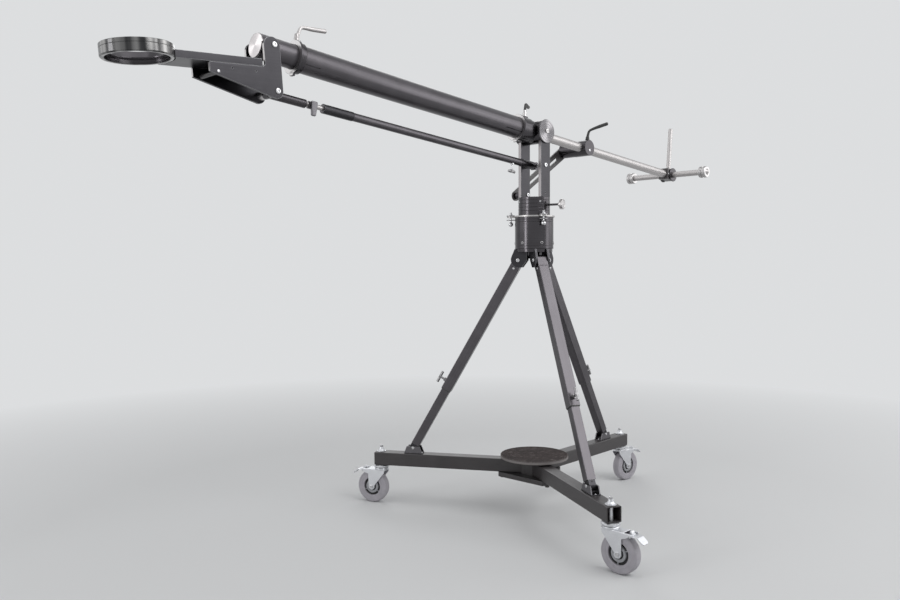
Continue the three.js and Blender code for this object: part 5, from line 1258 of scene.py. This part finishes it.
# The seat inside the ring is the ring's own metal lying in shade, made black: painted shade.
shaded_seat = [(78, 0.4), (78, 31.2), (75, 31.2), (72, 26), (66.5, 17), (66, 16), (66, 13), (76, 13), (76, 0.4)]
bowl_ring.put(turned(shaded_seat, 160, 0.6, 3), turned_black)
bowl_ring.fit("platform", "bowl_ring", slot="turned_grey")

# Studio
# A pale floor that runs out into a pale surround, large soft lamps, and the camera where it stood: in
# front and on the near side, half a metre below the boom's pivot, looking slantwise across the crane.

floor_mesh = bpy.data.meshes.new("floor")
floor_mesh.from_pydata([(x, y, 0) for x, y in oblong(-40, -40, 40, 40)], [], [(0, 1, 2, 3)])
floor = bpy.data.objects.new("floor", floor_mesh)
bpy.context.scene.collection.objects.link(floor)
pale = (0.72, 0.73, 0.74, 1)
ground_finish = Finish("pale floor")
here = ground_finish.node("ShaderNodeTexCoord", {}, {}, "Object")
far = ground_finish.node("ShaderNodeVectorMath", {"operation": "LENGTH"}, {0: here}, "Value").past(1.6, 0.42)
seen, mirrored = (
    ground_finish.node("ShaderNodeLightPath", output="Is %s Ray" % kind) for kind in ("Camera", "Glossy")
)
glow = ground_finish.node("ShaderNodeEmission", {}, {"Color": pale, "Strength": 1})
ground_finish.surface({"Base Color": (0.62, 0.625, 0.63, 1), "Roughness": 0.9, "Specular IOR Level": 0.1})
floor_shader = Reading(ground_finish.tree, ground_finish.shader.outputs[0])
shaders = {0: far * (seen + mirrored), 1: floor_shader, 2: glow}
mixed = ground_finish.node("ShaderNodeMixShader", {}, shaders)
ground_finish.wire(ground_finish.tree.nodes["Material Output"], {"Surface": mixed})
floor_mesh.materials.append(ground_finish.material)

world = bpy.data.worlds.new("studio")
world.use_nodes = True
bpy.context.scene.world = world
surround = Nodes(world.node_tree)
seen, mirrored, through = (
    surround.node("ShaderNodeLightPath", output="Is %s Ray" % kind)
    for kind in ("Camera", "Glossy", "Transmission")
)
strength = 0.45 + (seen + mirrored + through).past(0, 1) * 0.55
surround.wire(world.node_tree.nodes["Background"], {"Color": pale, "Strength": strength})

aim = Vector((0, 0, 0.9))
lamps = {
    "key": ((0.8, -4.0, 4.2), 120, 3.6, 3.6),
    "fill": ((-4.0, 3.4, 2.8), 26, 3.2, 3.2),
    "side": ((4.6, -2.6, 2.6), 40, 3.0, 3.0),
    "rim": ((3.0, 4.2, 3.6), 50, 3.4, 3.4),
    "top": ((-0.6, 0.4, 5.2), 50, 4.0, 4.0),
    "strip": ((-4.6, 1.05, 1.5), 44, 0.9, 2.6),
    "panel": ((2.7, -3.5, 1.5), 22, 1.5, 2.4),
}
for name, (spot, power, wide, high) in lamps.items():
    data = bpy.data.lights.new(name, "AREA")
    data.shape, data.energy, data.size, data.size_y = "RECTANGLE", power, wide, high
    lamp = bpy.data.objects.new(name, data)
    lamp.location = spot
    lamp.rotation_euler = (aim - Vector(spot)).to_track_quat("-Z", "Y").to_euler()
    bpy.context.scene.collection.objects.link(lamp)

yaw, dip, roll = 0.8009, -0.0447, -0.0050
forward = Vector((math.cos(yaw) * math.cos(dip), math.sin(yaw) * math.cos(dip), math.sin(dip)))
level_right = Vector((math.sin(yaw), -math.cos(yaw), 0))
level_up = level_right.cross(forward)
right = level_right * math.cos(roll) + level_up * math.sin(roll)
up = level_up * math.cos(roll) - level_right * math.sin(roll)
lens = bpy.data.cameras.new("camera")
lens.sensor_width, lens.lens = 36, 32.10
camera = bpy.data.objects.new("camera", lens)
stand = Matrix.Translation((pan_axis.x - 2.319905, pan_axis.y - 1.9393, 0.9415))
camera.matrix_world = stand @ Matrix((right, up, -forward)).transposed().to_4x4()
bpy.context.scene.collection.objects.link(camera)
bpy.context.scene.camera = camera
bpy.context.scene.view_settings.view_transform = "Standard"
